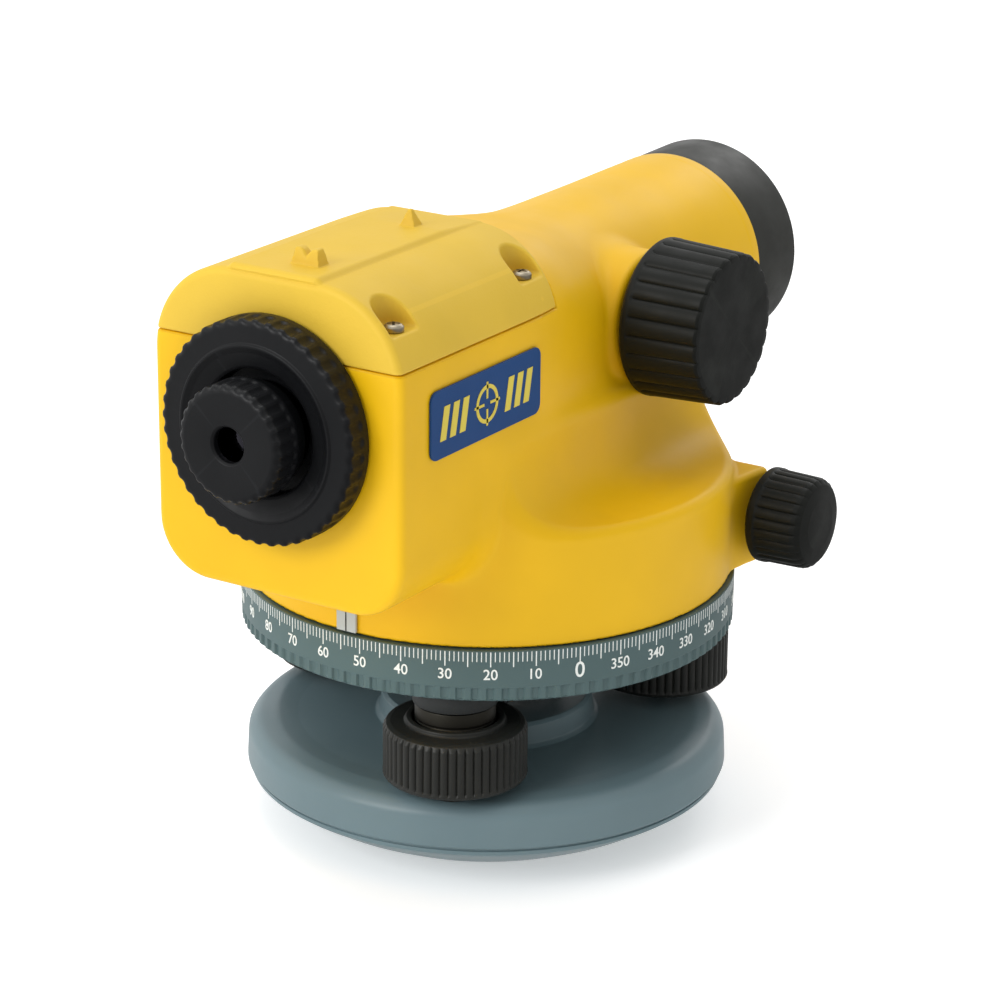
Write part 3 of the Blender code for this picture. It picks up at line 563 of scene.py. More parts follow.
def housing_outside(x, y, z):
    tube = round_meet(telescope(x, y, z), BOX_REAR_Y - y, edge=2.0)
    tube = meet(tube, y - 82.0)
    belly = quadrant(np.abs(x) - 22.8, np.abs(y + 1.0) - 41.6) - 8.0
    belly = smooth_meet(belly, z - 105.0, soft=3.0)
    upper = smooth_join(tube, belly, soft=7.0)
    # drum below, flowing up into the belly
    drum = round_meet(smooth_join(z - 87.2, upper, soft=16.0), np.hypot(x, y) - DRUM_RADIUS,
                      edge=2.4)
    shape = smooth_join(upper, drum, soft=0.001 + 0.8 * (1 - ease(z, 86.0, 96.0)))
    # round boss behind the focus knob
    boss = round_meet(rod(y - 22.4, z - 119.7, 15.4), x - 29.2, edge=1.6)
    shape = smooth_join(shape, meet(boss, 5.0 - x), soft=2.8)
    # square bosses of the tangent screw, both sides, with sloping faces
    face = (np.abs(x) - 52.0) * 0.990 - (y - 20.6) * 0.143
    boss = round_meet(face, np.abs(y - 23.6) - 13.6, edge=1.5)
    boss = round_meet(boss, np.abs(z - 72.65) - 11.35, edge=1.4)
    shape = smooth_join(shape, boss, soft=1.4)
    # round boss under the vial
    boss = round_meet(rod(x - VIAL_X, y - VIAL_Y, 12.6), z - 91.8, edge=1.0)
    shape = smooth_join(shape, meet(boss, 78.0 - z), soft=3.0)
    return smooth_meet(shape, 61.15 - z, soft=0.5)


def housing_hollow(x, y, z):
    """Everything taken out of the casting."""
    rho = np.hypot(x, y)
    wall = 3.1 - 0.6 * ease(y, -10.0, 20.0)
    inside = meet(telescope(x, y, z) + wall, 84.2 - z, -80.2 - y)
    drum = meet(rho - DRUM_BORE, z - 79.6)
    drum = smooth_meet(drum, (rho - DRUM_BORE) * 0.6 + (z - 76.0) * 0.8, soft=3.0)
    hollow = join(inside, drum)
    # material left standing: central bearing and screw pillars
    hollow = meet(hollow, -meet(rho - 15.0, between(z, 76.7, 88.0)))
    for sx, sy in LID_SCREWS:
        hollow = meet(hollow, -meet(rod(x - sx, y - sy, 5.4), 116.0 - z))
    bores = [
        meet(rho - 10.2, z - 84.6),                                            # vertical axis
        meet(rod(x, z - SIGHT_Z, 14.85), y + 70.0),                            # eyepiece
        meet(rod(y - FOCUS_Y, z - FOCUS_Z, 7.35), between(x, 10.0, 40.0)),     # focus
        meet(rod(y - TANGENT_Y, z - TANGENT_Z, 2.9), np.abs(x) - 60.0),        # tangent
        meet(rod(x - VIAL_X, y - VIAL_Y, 10.8), 86.0 - z),                     # vial
        meet(between(x, -62.0, -35.6), between(y, -21.0, 8.0), 92.0 - z),      # above vial
    ]
    screws = [meet(rod(x - sx, y - sy, CLEAR_RADIUS), 120.0 - z) for sx, sy in LID_SCREWS]
    return join(hollow, *bores, *screws)


def housing(x, y, z):
    shape = meet(housing_outside(x, y, z), -housing_hollow(x, y, z))
    cover_place = meet(132.6 - z, y + 20.8)
    return round_meet(shape, -cover_place, edge=0.35)


def cover(x, y, z):
    shape = telescope(x, y, z, lid=True)
    # raised strip down the middle, with sloping flanks and falling to the front
    flank = (np.abs(x + 0.5) - 11.8 + 1.2 * (z - 149.6)) * 0.62
    strip = round_meet(flank, z - 150.3 + 0.06 * np.maximum(y + 36.0, 0), edge=0.25)
    shape = smooth_join(shape, meet(strip, 148.4 - z), soft=0.25)
    shape = round_meet(shape, BOX_REAR_Y - y, edge=1.7)
    shape = round_meet(shape, y + 21.05, edge=0.9)
    # notched sight at the rear, pyramid sight at the front; both taper upwards
    rise = z - 149.9
    taper = rise / 4.1
    across = np.abs(x - 2.9)
    notch = meet((across - (3.7 - 0.9 * taper)) * 0.97,
                 (np.abs(y + 74.2) - (2.0 - 0.9 * taper)) * 0.97)
    notch = round_meet(notch, rise - 4.0, edge=0.3)
    notch = smooth_meet(notch, (z - 152.3 - 1.3 * across) * 0.6, soft=0.8)
    shape = smooth_join(shape, meet(notch, -2.0 - rise), soft=0.3)
    pyramid = meet((np.abs(x - 2.5) - (2.2 - 1.85 * taper)) * 0.86,
                   (np.abs(y + 36.0) - (1.8 - 1.4 * taper)) * 0.93)
    pyramid = round_meet(pyramid, rise - 4.1, edge=0.2)
    shape = smooth_join(shape, meet(pyramid, -2.0 - rise), soft=0.3)
    # screw pockets, open towards the sides, and their through holes
    for sx, sy in LID_SCREWS:
        outward = math.copysign(1.0, sx) * x - abs(sx)
        pocket = np.where(outward < 0, np.hypot(outward, y - sy), np.abs(y - sy)) - 4.8
        shape = smooth_meet(shape, -smooth_meet(pocket, 139.9 - z, soft=1.0), soft=0.5)
        shape = meet(shape, -meet(rod(x - sx, y - sy, CLEAR_RADIUS), z - 141.5))
    shape = meet(shape, -meet(np.abs(x) - 16.0, np.abs(y + 51.9) - 27.9, z - 146.0))
    return round_meet(shape, 132.85 - z, edge=0.35)


def gradient(field, points, reach):
    slope = np.zeros_like(points)
    for q in range(3):
        offset = np.zeros(3)
        offset[q] = reach
        slope[:, q] = (field(*(points + offset).T) - field(*(points - offset).T)) / (2 * reach)
    return slope


def cell_points(values, cells):
    """Mean of the zero crossings on the edges of each cell, in cell units."""
    total = np.zeros((len(cells), 3))
    found = np.zeros(len(cells))
    for a in [(i, j, k) for i in (0, 1) for j in (0, 1) for k in (0, 1)]:
        for q in range(3):
            if a[q]:
                continue
            b = list(a)
            b[q] = 1
            at_a = values[tuple((cells + a).T)]
            at_b = values[tuple((cells + b).T)]
            crossed = (at_a < 0) != (at_b < 0)
            t = np.where(crossed, at_a / np.where(crossed, at_a - at_b, 1), 0)
            crossing = np.array(a, float)[None, :].repeat(len(cells), 0)
            crossing[:, q] += t
            total[crossed] += crossing[crossed]
            found += crossed
    return total / found[:, None] + cells


def cell_quads(inside, index):
    """One quad for each grid edge whose ends differ."""
    size = inside.shape
    quads = []
    for q in range(3):
        low = [slice(0, None)] * 3
        high = [slice(0, None)] * 3
        low[q], high[q] = slice(0, -1), slice(1, None)
        low, high = tuple(low), tuple(high)
        u, w = (q + 1) % 3, (q + 2) % 3
        edges = np.stack(np.nonzero(inside[low] != inside[high]), 1)
        edges = edges[(edges[:, u] > 0) & (edges[:, w] > 0)
                      & (edges[:, u] < size[u] - 1) & (edges[:, w] < size[w] - 1)]
        leaving = inside[low][tuple(edges.T)]
        corners = []
        for du, dw in ((1, 1), (0, 1), (0, 0), (1, 0)):
            cell = edges.copy()
            cell[:, u] -= du
            cell[:, w] -= dw
            corners.append(index[tuple(cell.T)])
        faces = np.stack(corners, 1)
        faces[~leaving] = faces[~leaving][:, ::-1]
        quads.append(faces)
    quads = np.concatenate(quads)
    return quads[(quads >= 0).all(1)]


def polygonise(name, field, low, high, cell, material, replaces):
    """Dual mesh of field = 0, pulled on to the surface, with the field's normals."""
    size = [int(math.ceil((b - a) / cell)) + 1 for a, b in zip(low, high)]
    axes = [(low[i] + cell * np.arange(size[i])).astype(np.float32) for i in range(3)]
    values = field(*np.meshgrid(*axes, indexing="ij")).astype(np.float32)
    values[values == 0] = 1e-6
    inside = values < 0
    count = sum(inside[i:size[0] - 1 + i, j:size[1] - 1 + j, k:size[2] - 1 + k].astype(np.int8)
                for i in (0, 1) for j in (0, 1) for k in (0, 1))
    active = (count > 0) & (count < 8)
    cells = np.stack(np.nonzero(active), 1)
    index = np.full(active.shape, -1, np.int64)
    index[active] = np.arange(len(cells))
    points = cell_points(values, cells) * cell + np.array(low)
    quads = cell_quads(inside, index)
    for _ in range(2):
        slope = gradient(field, points, 0.04)
        distance = field(*points.T)
        move = slope * (distance / np.maximum((slope * slope).sum(1), 0.25))[:, None]
        length = np.linalg.norm(move, axis=1)
        move *= (np.minimum(length, 0.45 * cell) / np.maximum(length, 1e-9))[:, None]
        points = points - move
    normals = gradient(field, points, 0.22)
    normals /= np.maximum(np.linalg.norm(normals, axis=1), 1e-6)[:, None]
    mesh = bpy.data.meshes.new(name)
    mesh.vertices.add(len(points))
    mesh.vertices.foreach_set("co", (points * MM).astype(np.float32).ravel())
    mesh.loops.add(quads.size)
    mesh.loops.foreach_set("vertex_index", quads.astype(np.int32).ravel())
    mesh.polygons.add(len(quads))
    mesh.polygons.foreach_set("loop_start", np.arange(0, quads.size, 4, dtype=np.int32))
    mesh.update(calc_edges=True)
    mesh.validate()
    mesh.shade_smooth()
    mesh.normals_split_custom_set_from_vertices(normals.astype(np.float32).tolist())
    put(name, mesh, material, "alidade", replaces)


polygonise("casting", housing, (-61, -85, 59), (59, 84.5, 152),
           0.8, YELLOW, "main_housing")
polygonise("lid_casting", cover, (-34, -85, 131), (34, -19.5, 156),
           0.42, COVER_YELLOW, "top_cover")

# --------------------------------------------------------------------------
# base and feet
# Profiles are (r, h[, corner radius[, rib share]]).
# --------------------------------------------------------------------------


def build_base():
    base = revolve("base_casting", [
        (11.3, 0.0, 0.4), (37.0, 0.0, 0.8), (40.3, 1.5, 6), (48.2, 5.5, 20), (53.2, 8.6, 0.4),
        (54.4, 9.3, 0.4), (56.2, 10.6, 0.4), (56.3, 11.5, 0.15), (55.9, 11.6, 0.1),
        (55.9, 11.9, 0.1), (57.1, 12.5, 0.9), (56.7, 20.0, 3.0), (54.6, 22.5, 4.0),
        (50.0, 23.25, 8.0), (45.0, 23.0, 6.0), (26.6, 23.0, 0.8), (25.6, 23.9, 0.8),
        (25.0, 28.0, 0.4), (24.2, 28.8, 0.4), (11.3, 28.8, 0.3)],
        BASE_GREY, "base", seg=192, replaces="base_plate")
    cut(base, [cylinder(9.0, 17.3, 30.0, (x, y, 0)) for x, y in FEET.values()])


def build_threaded_bush():
    """Central bush, its 5/8"-11 internal thread a helix that fades at both ends."""
    pitch, thread_depth = 2.309, 1.05
    minor_radius, chamfer_radius, outer_radius = 7.0, 8.4, 11.0
    bottom, top = 0.6, 28.4
    turn = full_turn(72)
    rings = []
    for z in np.arange(bottom, top + 1e-6, pitch / 8):
        phase = np.mod(z / pitch - turn / (2 * np.pi), 1.0)
        fade = min(1.0, (z - bottom) / 1.0 + 0.15, (top - z) / 1.0 + 0.15)
        depth = thread_depth * (1 - np.abs(2 * phase - 1)) * fade
        rings.append(around(minor_radius + depth, turn, z))
    for radius, z in ((chamfer_radius, top), (outer_radius, top),
                      (outer_radius, bottom), (chamfer_radius, bottom)):
        rings.append(around(radius, turn, z))
    put("threaded_bush", loft("threaded_bush", rings, closed=True), BRASS, "base",
        "tripod_bush", sharp=50)


def build_foot(letter, x, y):
    origin = (x, y, 0)
    knob_body = "foot_%s_knob" % letter
    revolve("foot_grip_" + letter, [
        (3.3, 25.5, 0.3), (14.2, 25.5, 0.5), (16.0, 25.9, 0.5), (16.5, 26.6, 0.4),
        (16.4, 27.3, 0.3, 0.8), (16.4, 37.4, 0.7, 1), (15.7, 38.5, 0.6), (14.6, 38.9, 0.5),
        (11.7, 38.9, 0.4), (11.3, 39.3, 0.3), (11.2, 40.0, 0.4), (9.8, 40.0, 0.4),
        (9.8, 29.5, 0.4), (3.3, 29.5, 0.2)],
        FOOT_BLACK, knob_body, origin, seg=52 * 8, replaces="foot_knob_" + letter,
        rib=bars(52, depth=0.85, fullness=0.97), steps=3)
    thread = [(3.0 - 0.32 * (q % 2), 24.6 + 0.5 * q, 0.1) for q in range(42)]
    revolve("foot_thread_" + letter, [
        (0.01, 28.2), (2.2, 28.2), (2.2, 23.9, 0.1), (3.0, 23.9, 0.2), *thread,
        (3.0, 45.3, 0.2), (2.4, 45.8, 0.2), (0.01, 45.8)],
        STEEL, knob_body, origin, seg=32, replaces="foot_screw_" + letter,
        closed=False, steps=1, sharp=50)
    revolve("foot_sleeve_" + letter, [
        (3.3, 33.0, 0.2), (8.8, 33.0, 0.3), (9.2, 33.5, 0.3), (9.2, 39.6), (8.95, 39.8, 0.1),
        (8.95, 40.3, 0.1), (9.2, 40.5), (9.2, 43.5, 0.2), (7.9, 43.55, 0.2), (7.9, 47.5, 0.3),
        (7.5, 47.9, 0.3), (3.3, 47.9, 0.2)],
        SLEEVE_METAL, "tribrach", origin, replaces="foot_bush_" + letter, steps=2)
    ball = [(4 * math.cos(math.radians(t)), 15 + 4 * math.sin(math.radians(t)))
            for t in range(-80, 60, 10)]
    revolve("foot_joint_" + letter, [
        (0.01, 11.0), *ball, (1.9, 19.2, 0.4), (1.9, 27.6, 0.3), (0.01, 27.6)],
        STEEL, "foot_%s_stud" % letter, origin, seg=40, replaces="foot_ball_" + letter,
        closed=False, steps=2)
    nut = revolve("socket_nut_" + letter, [
        (3.5, 17.45, 0.2), (8.6, 17.45, 0.3), (8.6, 22.2, 0.4), (3.5, 22.2, 0.5)],
        DULL_STEEL, "base", origin, seg=64, replaces="ball_retainer_" + letter)
    cut(nut, [box((x + x0, y - 0.7, 21.0), (x + x1, y + 0.7, 24))
              for x0, x1 in ((-9, -4.6), (4.6, 9))])


def build_tribrach():
    """Round hub with three round-ended arms, and the column that carries the spindle."""
    hub_radius, arm_radius = 34.0, 9.8
    turn = full_turn(720)
    reach = np.full(len(turn), hub_radius)
    for angle in FOOT_ANGLES.values():
        away = (turn - math.radians(angle) + np.pi) % (2 * np.pi) - np.pi
        aside = FOOT_CIRCLE * np.sin(np.abs(away))
        over_arm = (np.abs(away) < 0.8) & (aside < arm_radius)
        end = np.sqrt(np.maximum(arm_radius ** 2 - aside * aside, 0))
        arm = FOOT_CIRCLE * np.cos(away) + end
        reach = np.where(over_arm, np.maximum(reach, arm), reach)
    # (inset from the outline, z)
    levels = ((0.5, 43.8), (0.15, 43.95), (0, 44.3), (0, 47.6), (0.15, 47.95), (0.5, 48.1))
    rings = [around(reach - inset, turn, z) for inset, z in levels]
    # the arms and column carry the painted shade colour of the space under the degree ring
    arms = put("tribrach_arms", loft("tribrach_arms", rings, closed=False), UNDER_RING_SHADE_GREY,
               "tribrach", "tribrach_plate", sharp=38)
    cut(arms, [cylinder(8.25, 40, 52, (x, y, 0), seg=64) for x, y in FEET.values()]
        + [cylinder(10.25, 40, 60, seg=64)])
    revolve("tribrach_column", [
        (10.25, 36.0, 0.2), (10.02, 35.9), (0.05, 35.9), (0.05, 33.6), (20.0, 33.6, 0.6),
        (21.0, 34.6, 0.8), (21.0, 41.5, 1.0), (24.0, 43.9, 0.4), (10.25, 43.9, 0.1)],
        UNDER_RING_SHADE_GREY, "tribrach", seg=160, steps=3)


build_base()
build_threaded_bush()
for foot_letter, (foot_x, foot_y) in FEET.items():
    build_foot(foot_letter, foot_x, foot_y)
build_tribrach()

# --------------------------------------------------------------------------
# horizontal circle and its index
# --------------------------------------------------------------------------
ZERO_AZIMUTH = math.radians(-36.4)
GRIP_NOTCHES = 108
MARK_FOOT_RADIUS = 57.9                   # marks are rooted just inside the ring


def build_ring():
    """Degree ring: grip notches below, plain scale band above, bevelled top."""
    def notches(turn, _h):
        pitch = math.radians(360.0 / GRIP_NOTCHES)
        off_centre = np.abs(np.mod((turn - ZERO_AZIMUTH) / pitch, 1.0) - 0.5)
        return 0.55 * np.clip((off_centre - 0.22) / 0.09, 0, 1) ** 0.7
    revolve("degree_ring", [
        (13.3, 52.4, 0.2), (52.0, 52.4, 0.5), (53.4, 48.6, 0.5), (57.0, 48.6, 0.3),
        (57.55, 49.0, 0.3, 1), (57.9, 49.2, 0.1, 1), (57.9, 51.3, 0.05, 1),
        (57.9, 51.75, 0.1, 0.9), (57.9, 51.95, 0.05, 0), (RING_RADIUS, 52.2, 0.1),
        (RING_RADIUS, 60.62, 0.15), (57.8, 60.8, 0.1), (54.2, 60.8, 0.4), (51.6, 55.4, 0.5),
        (13.3, 55.4, 0.2)],
        DIAL_GREY, "circle", seg=960, replaces="horizontal_circle",
        rib=notches, steps=2, sharp=30)


def build_degree_marks():
    top = 60.55
    points, faces = [], []
    for degree in range(360):
        azimuth = ZERO_AZIMUTH - math.radians(degree)
        length, width = (3.5, 0.25) if degree % 5 == 0 else (2.3, 0.2)
        u = np.array([-width / 2, width / 2, width / 2, -width / 2])
        v = np.array([-length, -length, 0, 0])
        for radius in (MARK_FOOT_RADIUS, RING_RADIUS + 0.03):
            points.append(around(radius, azimuth + u / MARK_FOOT_RADIUS, top + v))
        first = 8 * degree
        faces.append([first + q for q in (4, 5, 6, 7)])
        faces.append([first + q for q in (3, 2, 1, 0)])
        for q in range(4):
            r = (q + 1) % 4
            faces.append([first + q, first + r, first + 4 + r, first + 4 + q])
    put("degree_marks", mesh_of("degree_marks", np.concatenate(points), faces),
        PRINT_WHITE, "circle")


def text_outline(text, weight):
    """Flat points and faces of a text in the built-in font."""
    curve = bpy.data.curves.new("txt", "FONT")
    curve.body = text
    curve.align_x = "CENTER"
    curve.align_y = "CENTER"
    curve.resolution_u = 4
    curve.offset = weight
    ob = bpy.data.objects.new("txt", curve)
    bpy.context.scene.collection.objects.link(ob)
    bpy.context.view_layer.update()
    depsgraph = bpy.context.evaluated_depsgraph_get()
    mesh = bpy.data.meshes.new_from_object(ob.evaluated_get(depsgraph))
    points = np.array([v.co for v in mesh.vertices], float)[:, :2]
    faces = [list(p.vertices) for p in mesh.polygons]
    bpy.data.objects.remove(ob)
    bpy.data.meshes.remove(mesh)
    bpy.data.curves.remove(curve)
    return points, faces


def build_degree_figures():
    zero_height, figure_height, narrowing = 3.75, 2.5, 0.95
    middle_z = 55.25
    points, faces, first = [], [], 0
    for degree in range(0, 360, 10):
        height = zero_height if degree == 0 else figure_height
        flat, flat_faces = text_outline(str(degree), weight=0.008)
        low, high = flat.min(0), flat.max(0)
        flat = (flat - (high + low) / 2) * (height / (high[1] - low[1]))
        angle = ZERO_AZIMUTH - math.radians(degree) + flat[:, 0] * narrowing / RING_RADIUS
        points.append(around(RING_RADIUS + 0.035, angle, middle_z + flat[:, 1]))
        faces += [[first + q for q in face] for face in flat_faces]
        first += len(flat)
    figures = put("degree_figures", mesh_of("degree_figures", np.concatenate(points), faces),
                  PRINT_WHITE, "circle")
    solidify = figures.modifiers.new("thick", "SOLIDIFY")
    solidify.thickness = 0.06 * MM
    solidify.offset = 0.0


def build_index():
    """Index strip at the rear of the drum, with its hairline."""
    strip = box((-2.6, -57.95, 61.6), (2.6, -57.2, 77.2), "index_strip")
    bevel(put("index_strip", strip, INDEX_WHITE, "alidade", "index_plate"), 0.2)
    hairline = box((-0.16, -57.99, 61.7), (0.16, -57.9, 76.8), "index_hairline")
    put("index_hairline", hairline, PRINT_BLACK, "alidade")


build_ring()
build_degree_marks()
build_degree_figures()
build_index()

# --------------------------------------------------------------------------
# knobs and eyepiece
# --------------------------------------------------------------------------


def build_knobs():
    revolve("focus_grip", [
        (2.55, 31.0, 0.2), (17.5, 31.0, 0.5), (18.5, 32.0, 0.6), (18.5, 33.0, 0.2),
        (18.45, 33.5, 0.3, 0.75), (18.4, 34.2, 0.3, 1), (17.65, 50.3, 0.45, 1),
        (17.2, 50.9, 0.3, 0.85), (15.8, 51.0, 0.5, 0), (0.05, 51.05)],
        KNOB_BLACK, "focus", (0, FOCUS_Y, FOCUS_Z), "X", seg=26 * 18, replaces="focus_knob",
        closed=False, rib=bars(26, depth=1.0, fullness=0.93), steps=3,
        sharp=44)
    for side, label in ((1, "right"), (-1, "left")):
        # (r, distance from the middle plane, corner radius, rib share)
        profile = [
            (2.55, 56.5, 0.2, 0), (10.2, 56.5, 0.3, 0), (11.2, 57.3, 0.5, 0),
            (11.2, 58.8, 0.3, 0), (11.05, 59.3, 0.3, 0.8), (11.0, 59.9, 0.3, 1),
            (10.8, 68.2, 0.5, 1), (10.4, 69.4, 0.6, 0.7), (9.3, 70.3, 1.0, 0),
            (6.0, 70.8, 4, 0), (0.05, 71.0, 0, 0)]
        revolve("tangent_grip_" + label, [(r, side * h, *rest) for r, h, *rest in profile],
                KNOB_BLACK, "tangent", (0, TANGENT_Y, TANGENT_Z), "X", seg=26 * 12,
                replaces="tangent_knob_" + label, closed=False,
                rib=bars(26, depth=0.6, fullness=0.98), steps=3, sharp=44)


def build_eyepiece():
    """Fixed fluted ring and, behind it, the smaller fluted eyepiece grip."""
    fluted = [(24.8, -85.8 - 0.3 * q, 0, 1) for q in range(14)]
    revolve("eyepiece_cover_ring", [
        (10.3, -70.5, 0.3), (14.5, -70.5, 0.3), (14.5, -83.5, 0.2), (23.8, -83.5, 0.3),
        (24.7, -84.0, 0.4), (24.8, -85.6, 0.1), *fluted,
        (24.75, -89.9, 0, 1), (24.55, -90.2, 0, 1), (24.2, -90.45, 0, 0.9),
        (23.7, -90.58, 0, 0.7), (23.0, -90.62, 0, 0), (19.7, -90.65, 0.3), (19.3, -91.1, 0.2),
        (18.9, -91.1, 0.3), (17.6, -90.5, 1.5), (14.6, -89.7, 0.8), (13.9, -89.3, 0.4),
        (13.9, -85.2, 0.3), (10.3, -85.2, 0.3)],
        EYE_BLACK, "alidade", SIGHT_AXIS, "Y", seg=44 * 14, replaces="eyepiece_ring",
        steps=3, sharp=40,
        rib=flutes(44, rim=24.8, ball=2.0, outset=1.52, ball_h=-87.2))
    fluted = [(13.05, -92.8 - 0.3 * q, 0, 1) for q in range(20)]
    revolve("eyepiece_grip", [
        (3.9, -98.0, 0.2), (9.9, -98.0, 0.2), (9.9, -88.6, 0.2), (11.8, -88.6, 0.4),
        (12.3, -92.0, 0.2), (13.0, -92.5, 0.2), *fluted,
        (12.95, -99.05, 0, 1), (12.7, -99.4, 0, 0.9), (12.3, -99.75, 0, 0.6),
        (11.8, -99.93, 0, 0), (11.2, -100.0, 0.4), (4.4, -100.0, 0.3), (3.9, -99.5, 0.2)],
        EYE_BLACK, "eyepiece_knob", SIGHT_AXIS, "Y", seg=30 * 14, replaces="eyepiece_knob",
        steps=3, sharp=40,
        rib=flutes(30, rim=13.05, ball=1.5, outset=1.12, ball_h=-94.4))


build_knobs()
build_eyepiece()

# --------------------------------------------------------------------------
# objective and lenses
# --------------------------------------------------------------------------


def build_objective():
    revolve("barrel_end_ring", [
        (23.2, 79.0), (25.5, 78.4), (25.6, 79.4, 0.5), (25.6, 82.25, 0.12), (23.2, 82.25, 0.1)],
        YELLOW, "alidade", SIGHT_AXIS, "Y", seg=192, steps=3)
    # saw-toothed grooves inside the mouth
    grooves = [(22.9 - 0.28 * q - (0.35 if q % 2 else 0), 100.3 - 0.6 * q, 0.05)
               for q in range(8)]
    revolve("objective_shade", [
        (18.6, 74.5, 0.2), (22.5, 74.5, 0.2), (22.5, 82.3, 0.2), (25.35, 82.3, 0.1),
        (25.45, 82.5, 0.1), (25.7, 100.2, 0.5), (25.3, 100.9, 0.4), (23.2, 100.9, 0.3),
        *grooves, (20.4, 95.6, 0.1), (20.0, 95.0, 0.2), (20.0, 84.4, 0.1), (18.6, 84.4, 0.2)],
        HOOD_BLACK, "alidade", SIGHT_AXIS, "Y", seg=192, replaces="objective_hood",
        steps=2, sharp=36)


def dome(rim_radius, rim_h, centre_h, n=10):
    """Points on a shallow dome from its rim to its centre."""
    return [(rim_radius * (1 - q / n), rim_h + (centre_h - rim_h) * (1 - (1 - q / n) ** 2))
            for q in range(n + 1)]


def build_lenses():
    front, eye, focusing = 19.6, 7.7, 13.6        # rim radii
    lenses = [
        ("front_lens", COATED_GLASS, "alidade", "objective_crown_lens",
         dome(front, 90.4, 92.9)[::-1] + dome(front, 88.3, 87.2)),
        ("second_lens", GLASS, "alidade", "objective_flint_lens",
         dome(front, 88.0, 86.9)[::-1] + [(front, 84.7), (0, 84.7)]),
        ("eye_glass", COATED_GLASS, "eyepiece", "eye_lens",
         dome(eye, -94.6, -95.8)[::-1] + dome(eye, -92.2, -92.0)),
        ("field_glass", GLASS, "eyepiece", "field_lens",
         [(0, -78.6), (eye, -78.6)] + dome(eye, -76.6, -75.2)),
        ("focusing_glass", GLASS, "focus_carriage", "focusing_lens",
         dome(focusing, 38.2, 39.4)[::-1] + dome(focusing, 41.8, 40.6)),
    ]
    for name, material, body, replaced, points in lenses:
        revolve(name, [(max(r, 0.02), h) for r, h in points], material, body, SIGHT_AXIS, "Y",
                replaces=replaced, closed=False, steps=1, sharp=30)


build_objective()
build_lenses()

# --------------------------------------------------------------------------
# badge on the +X side, cover screws
# --------------------------------------------------------------------------
EMBLEM_Y, EMBLEM_Z = -52.0, 119.1


def arc(y, z, radius, start, end, n):
    """n + 1 points from start to end, in degrees."""
    angles = [math.radians(start + (end - start) * q / n) for q in range(n + 1)]
    return [(y + radius * math.cos(a), z + radius * math.sin(a)) for a in angles]


def build_badge():
    y0, y1, z0, z1, r = -73.3, -30.5, 111.5, 126.7, 2.3
    outline = []
    for y, z, start in ((y1 - r, z1 - r, 0), (y0 + r, z1 - r, 90),
                        (y0 + r, z0 + r, 180), (y1 - r, z0 + r, 270)):
        outline += arc(y, z, r, start, start + 90, 8)
    plate = put("side_badge", prism_x("side_badge", [outline], 32.4, 33.0), BADGE_BLUE,
                "alidade", "badge")
    bevel(plate, 0.15, 2)


def build_emblem():
    """A ring with cross hairs, and three slanted bars on either side."""
    outer, inner = 4.3, 3.4
    hair_near, hair_far, hair_half = 1.2, 4.9, 0.3
    shapes = [arc(EMBLEM_Y, EMBLEM_Z, outer, start, start + 180, 40)
              + arc(EMBLEM_Y, EMBLEM_Z, inner, start + 180, start, 40) for start in (0, 180)]
    for y0, y1, z0, z1 in ((-hair_far, -hair_near, -hair_half, hair_half),
                           (hair_near, hair_far, -hair_half, hair_half),
                           (-hair_half, hair_half, hair_near, hair_far),
                           (-hair_half, hair_half, -hair_far, -hair_near)):
        shapes.append([(EMBLEM_Y + y, EMBLEM_Z + z)
                       for y, z in ((y0, z0), (y1, z0), (y1, z1), (y0, z1))])
    bottom, top, pitch = 115.4, 122.8, 3.7
    for y in [first + pitch * i for first in (-68.6, -43.6) for i in range(3)]:
        shapes.append([(y - 1.5, bottom), (y + 0.7, bottom), (y + 2.3, top), (y + 0.1, top)])
    put("badge_emblem", prism_x("badge_emblem", shapes, 32.95, 33.1), BADGE_YELLOW, "alidade")


def build_lid_screws():
    """Cross-slotted screws, each turned to its own angle."""
    for i, (x, y) in enumerate(LID_SCREWS):
        screw = revolve("lid_screw_%d" % (i + 1), [
            (0.02, 122.0), (1.45, 122.0, 0.3), (1.45, 140.0, 0.1), (2.25, 140.0, 0.15),
            (2.25, 141.0, 0.4), (1.6, 141.6, 0.9), (0.02, 141.75)],
            DULL_STEEL, "alidade", (x, y, 0), seg=48, replaces="cover_screw_%d" % (i + 1),
            closed=False, steps=3)
        for quarter in (0, 1):
            slot_box = box((-1.3, -0.28, 140.9), (1.3, 0.28, 143))
            slot_box.transform(Matrix.Translation((x * MM, y * MM, 0))
                               @ Matrix.Rotation(0.6 + i + quarter * math.pi / 2, 4, "Z"))
            cut(screw, [slot_box])


build_badge()
build_emblem()
build_lid_screws()

# --------------------------------------------------------------------------
# circular vial and its mirror, on the -X side
# --------------------------------------------------------------------------
VIAL = (VIAL_X, VIAL_Y, 0)
HINGE_Y, HINGE_Z = 4.4, 97.4
HINGE = (0, HINGE_Y, HINGE_Z)
POST_RADIUS = 1.6


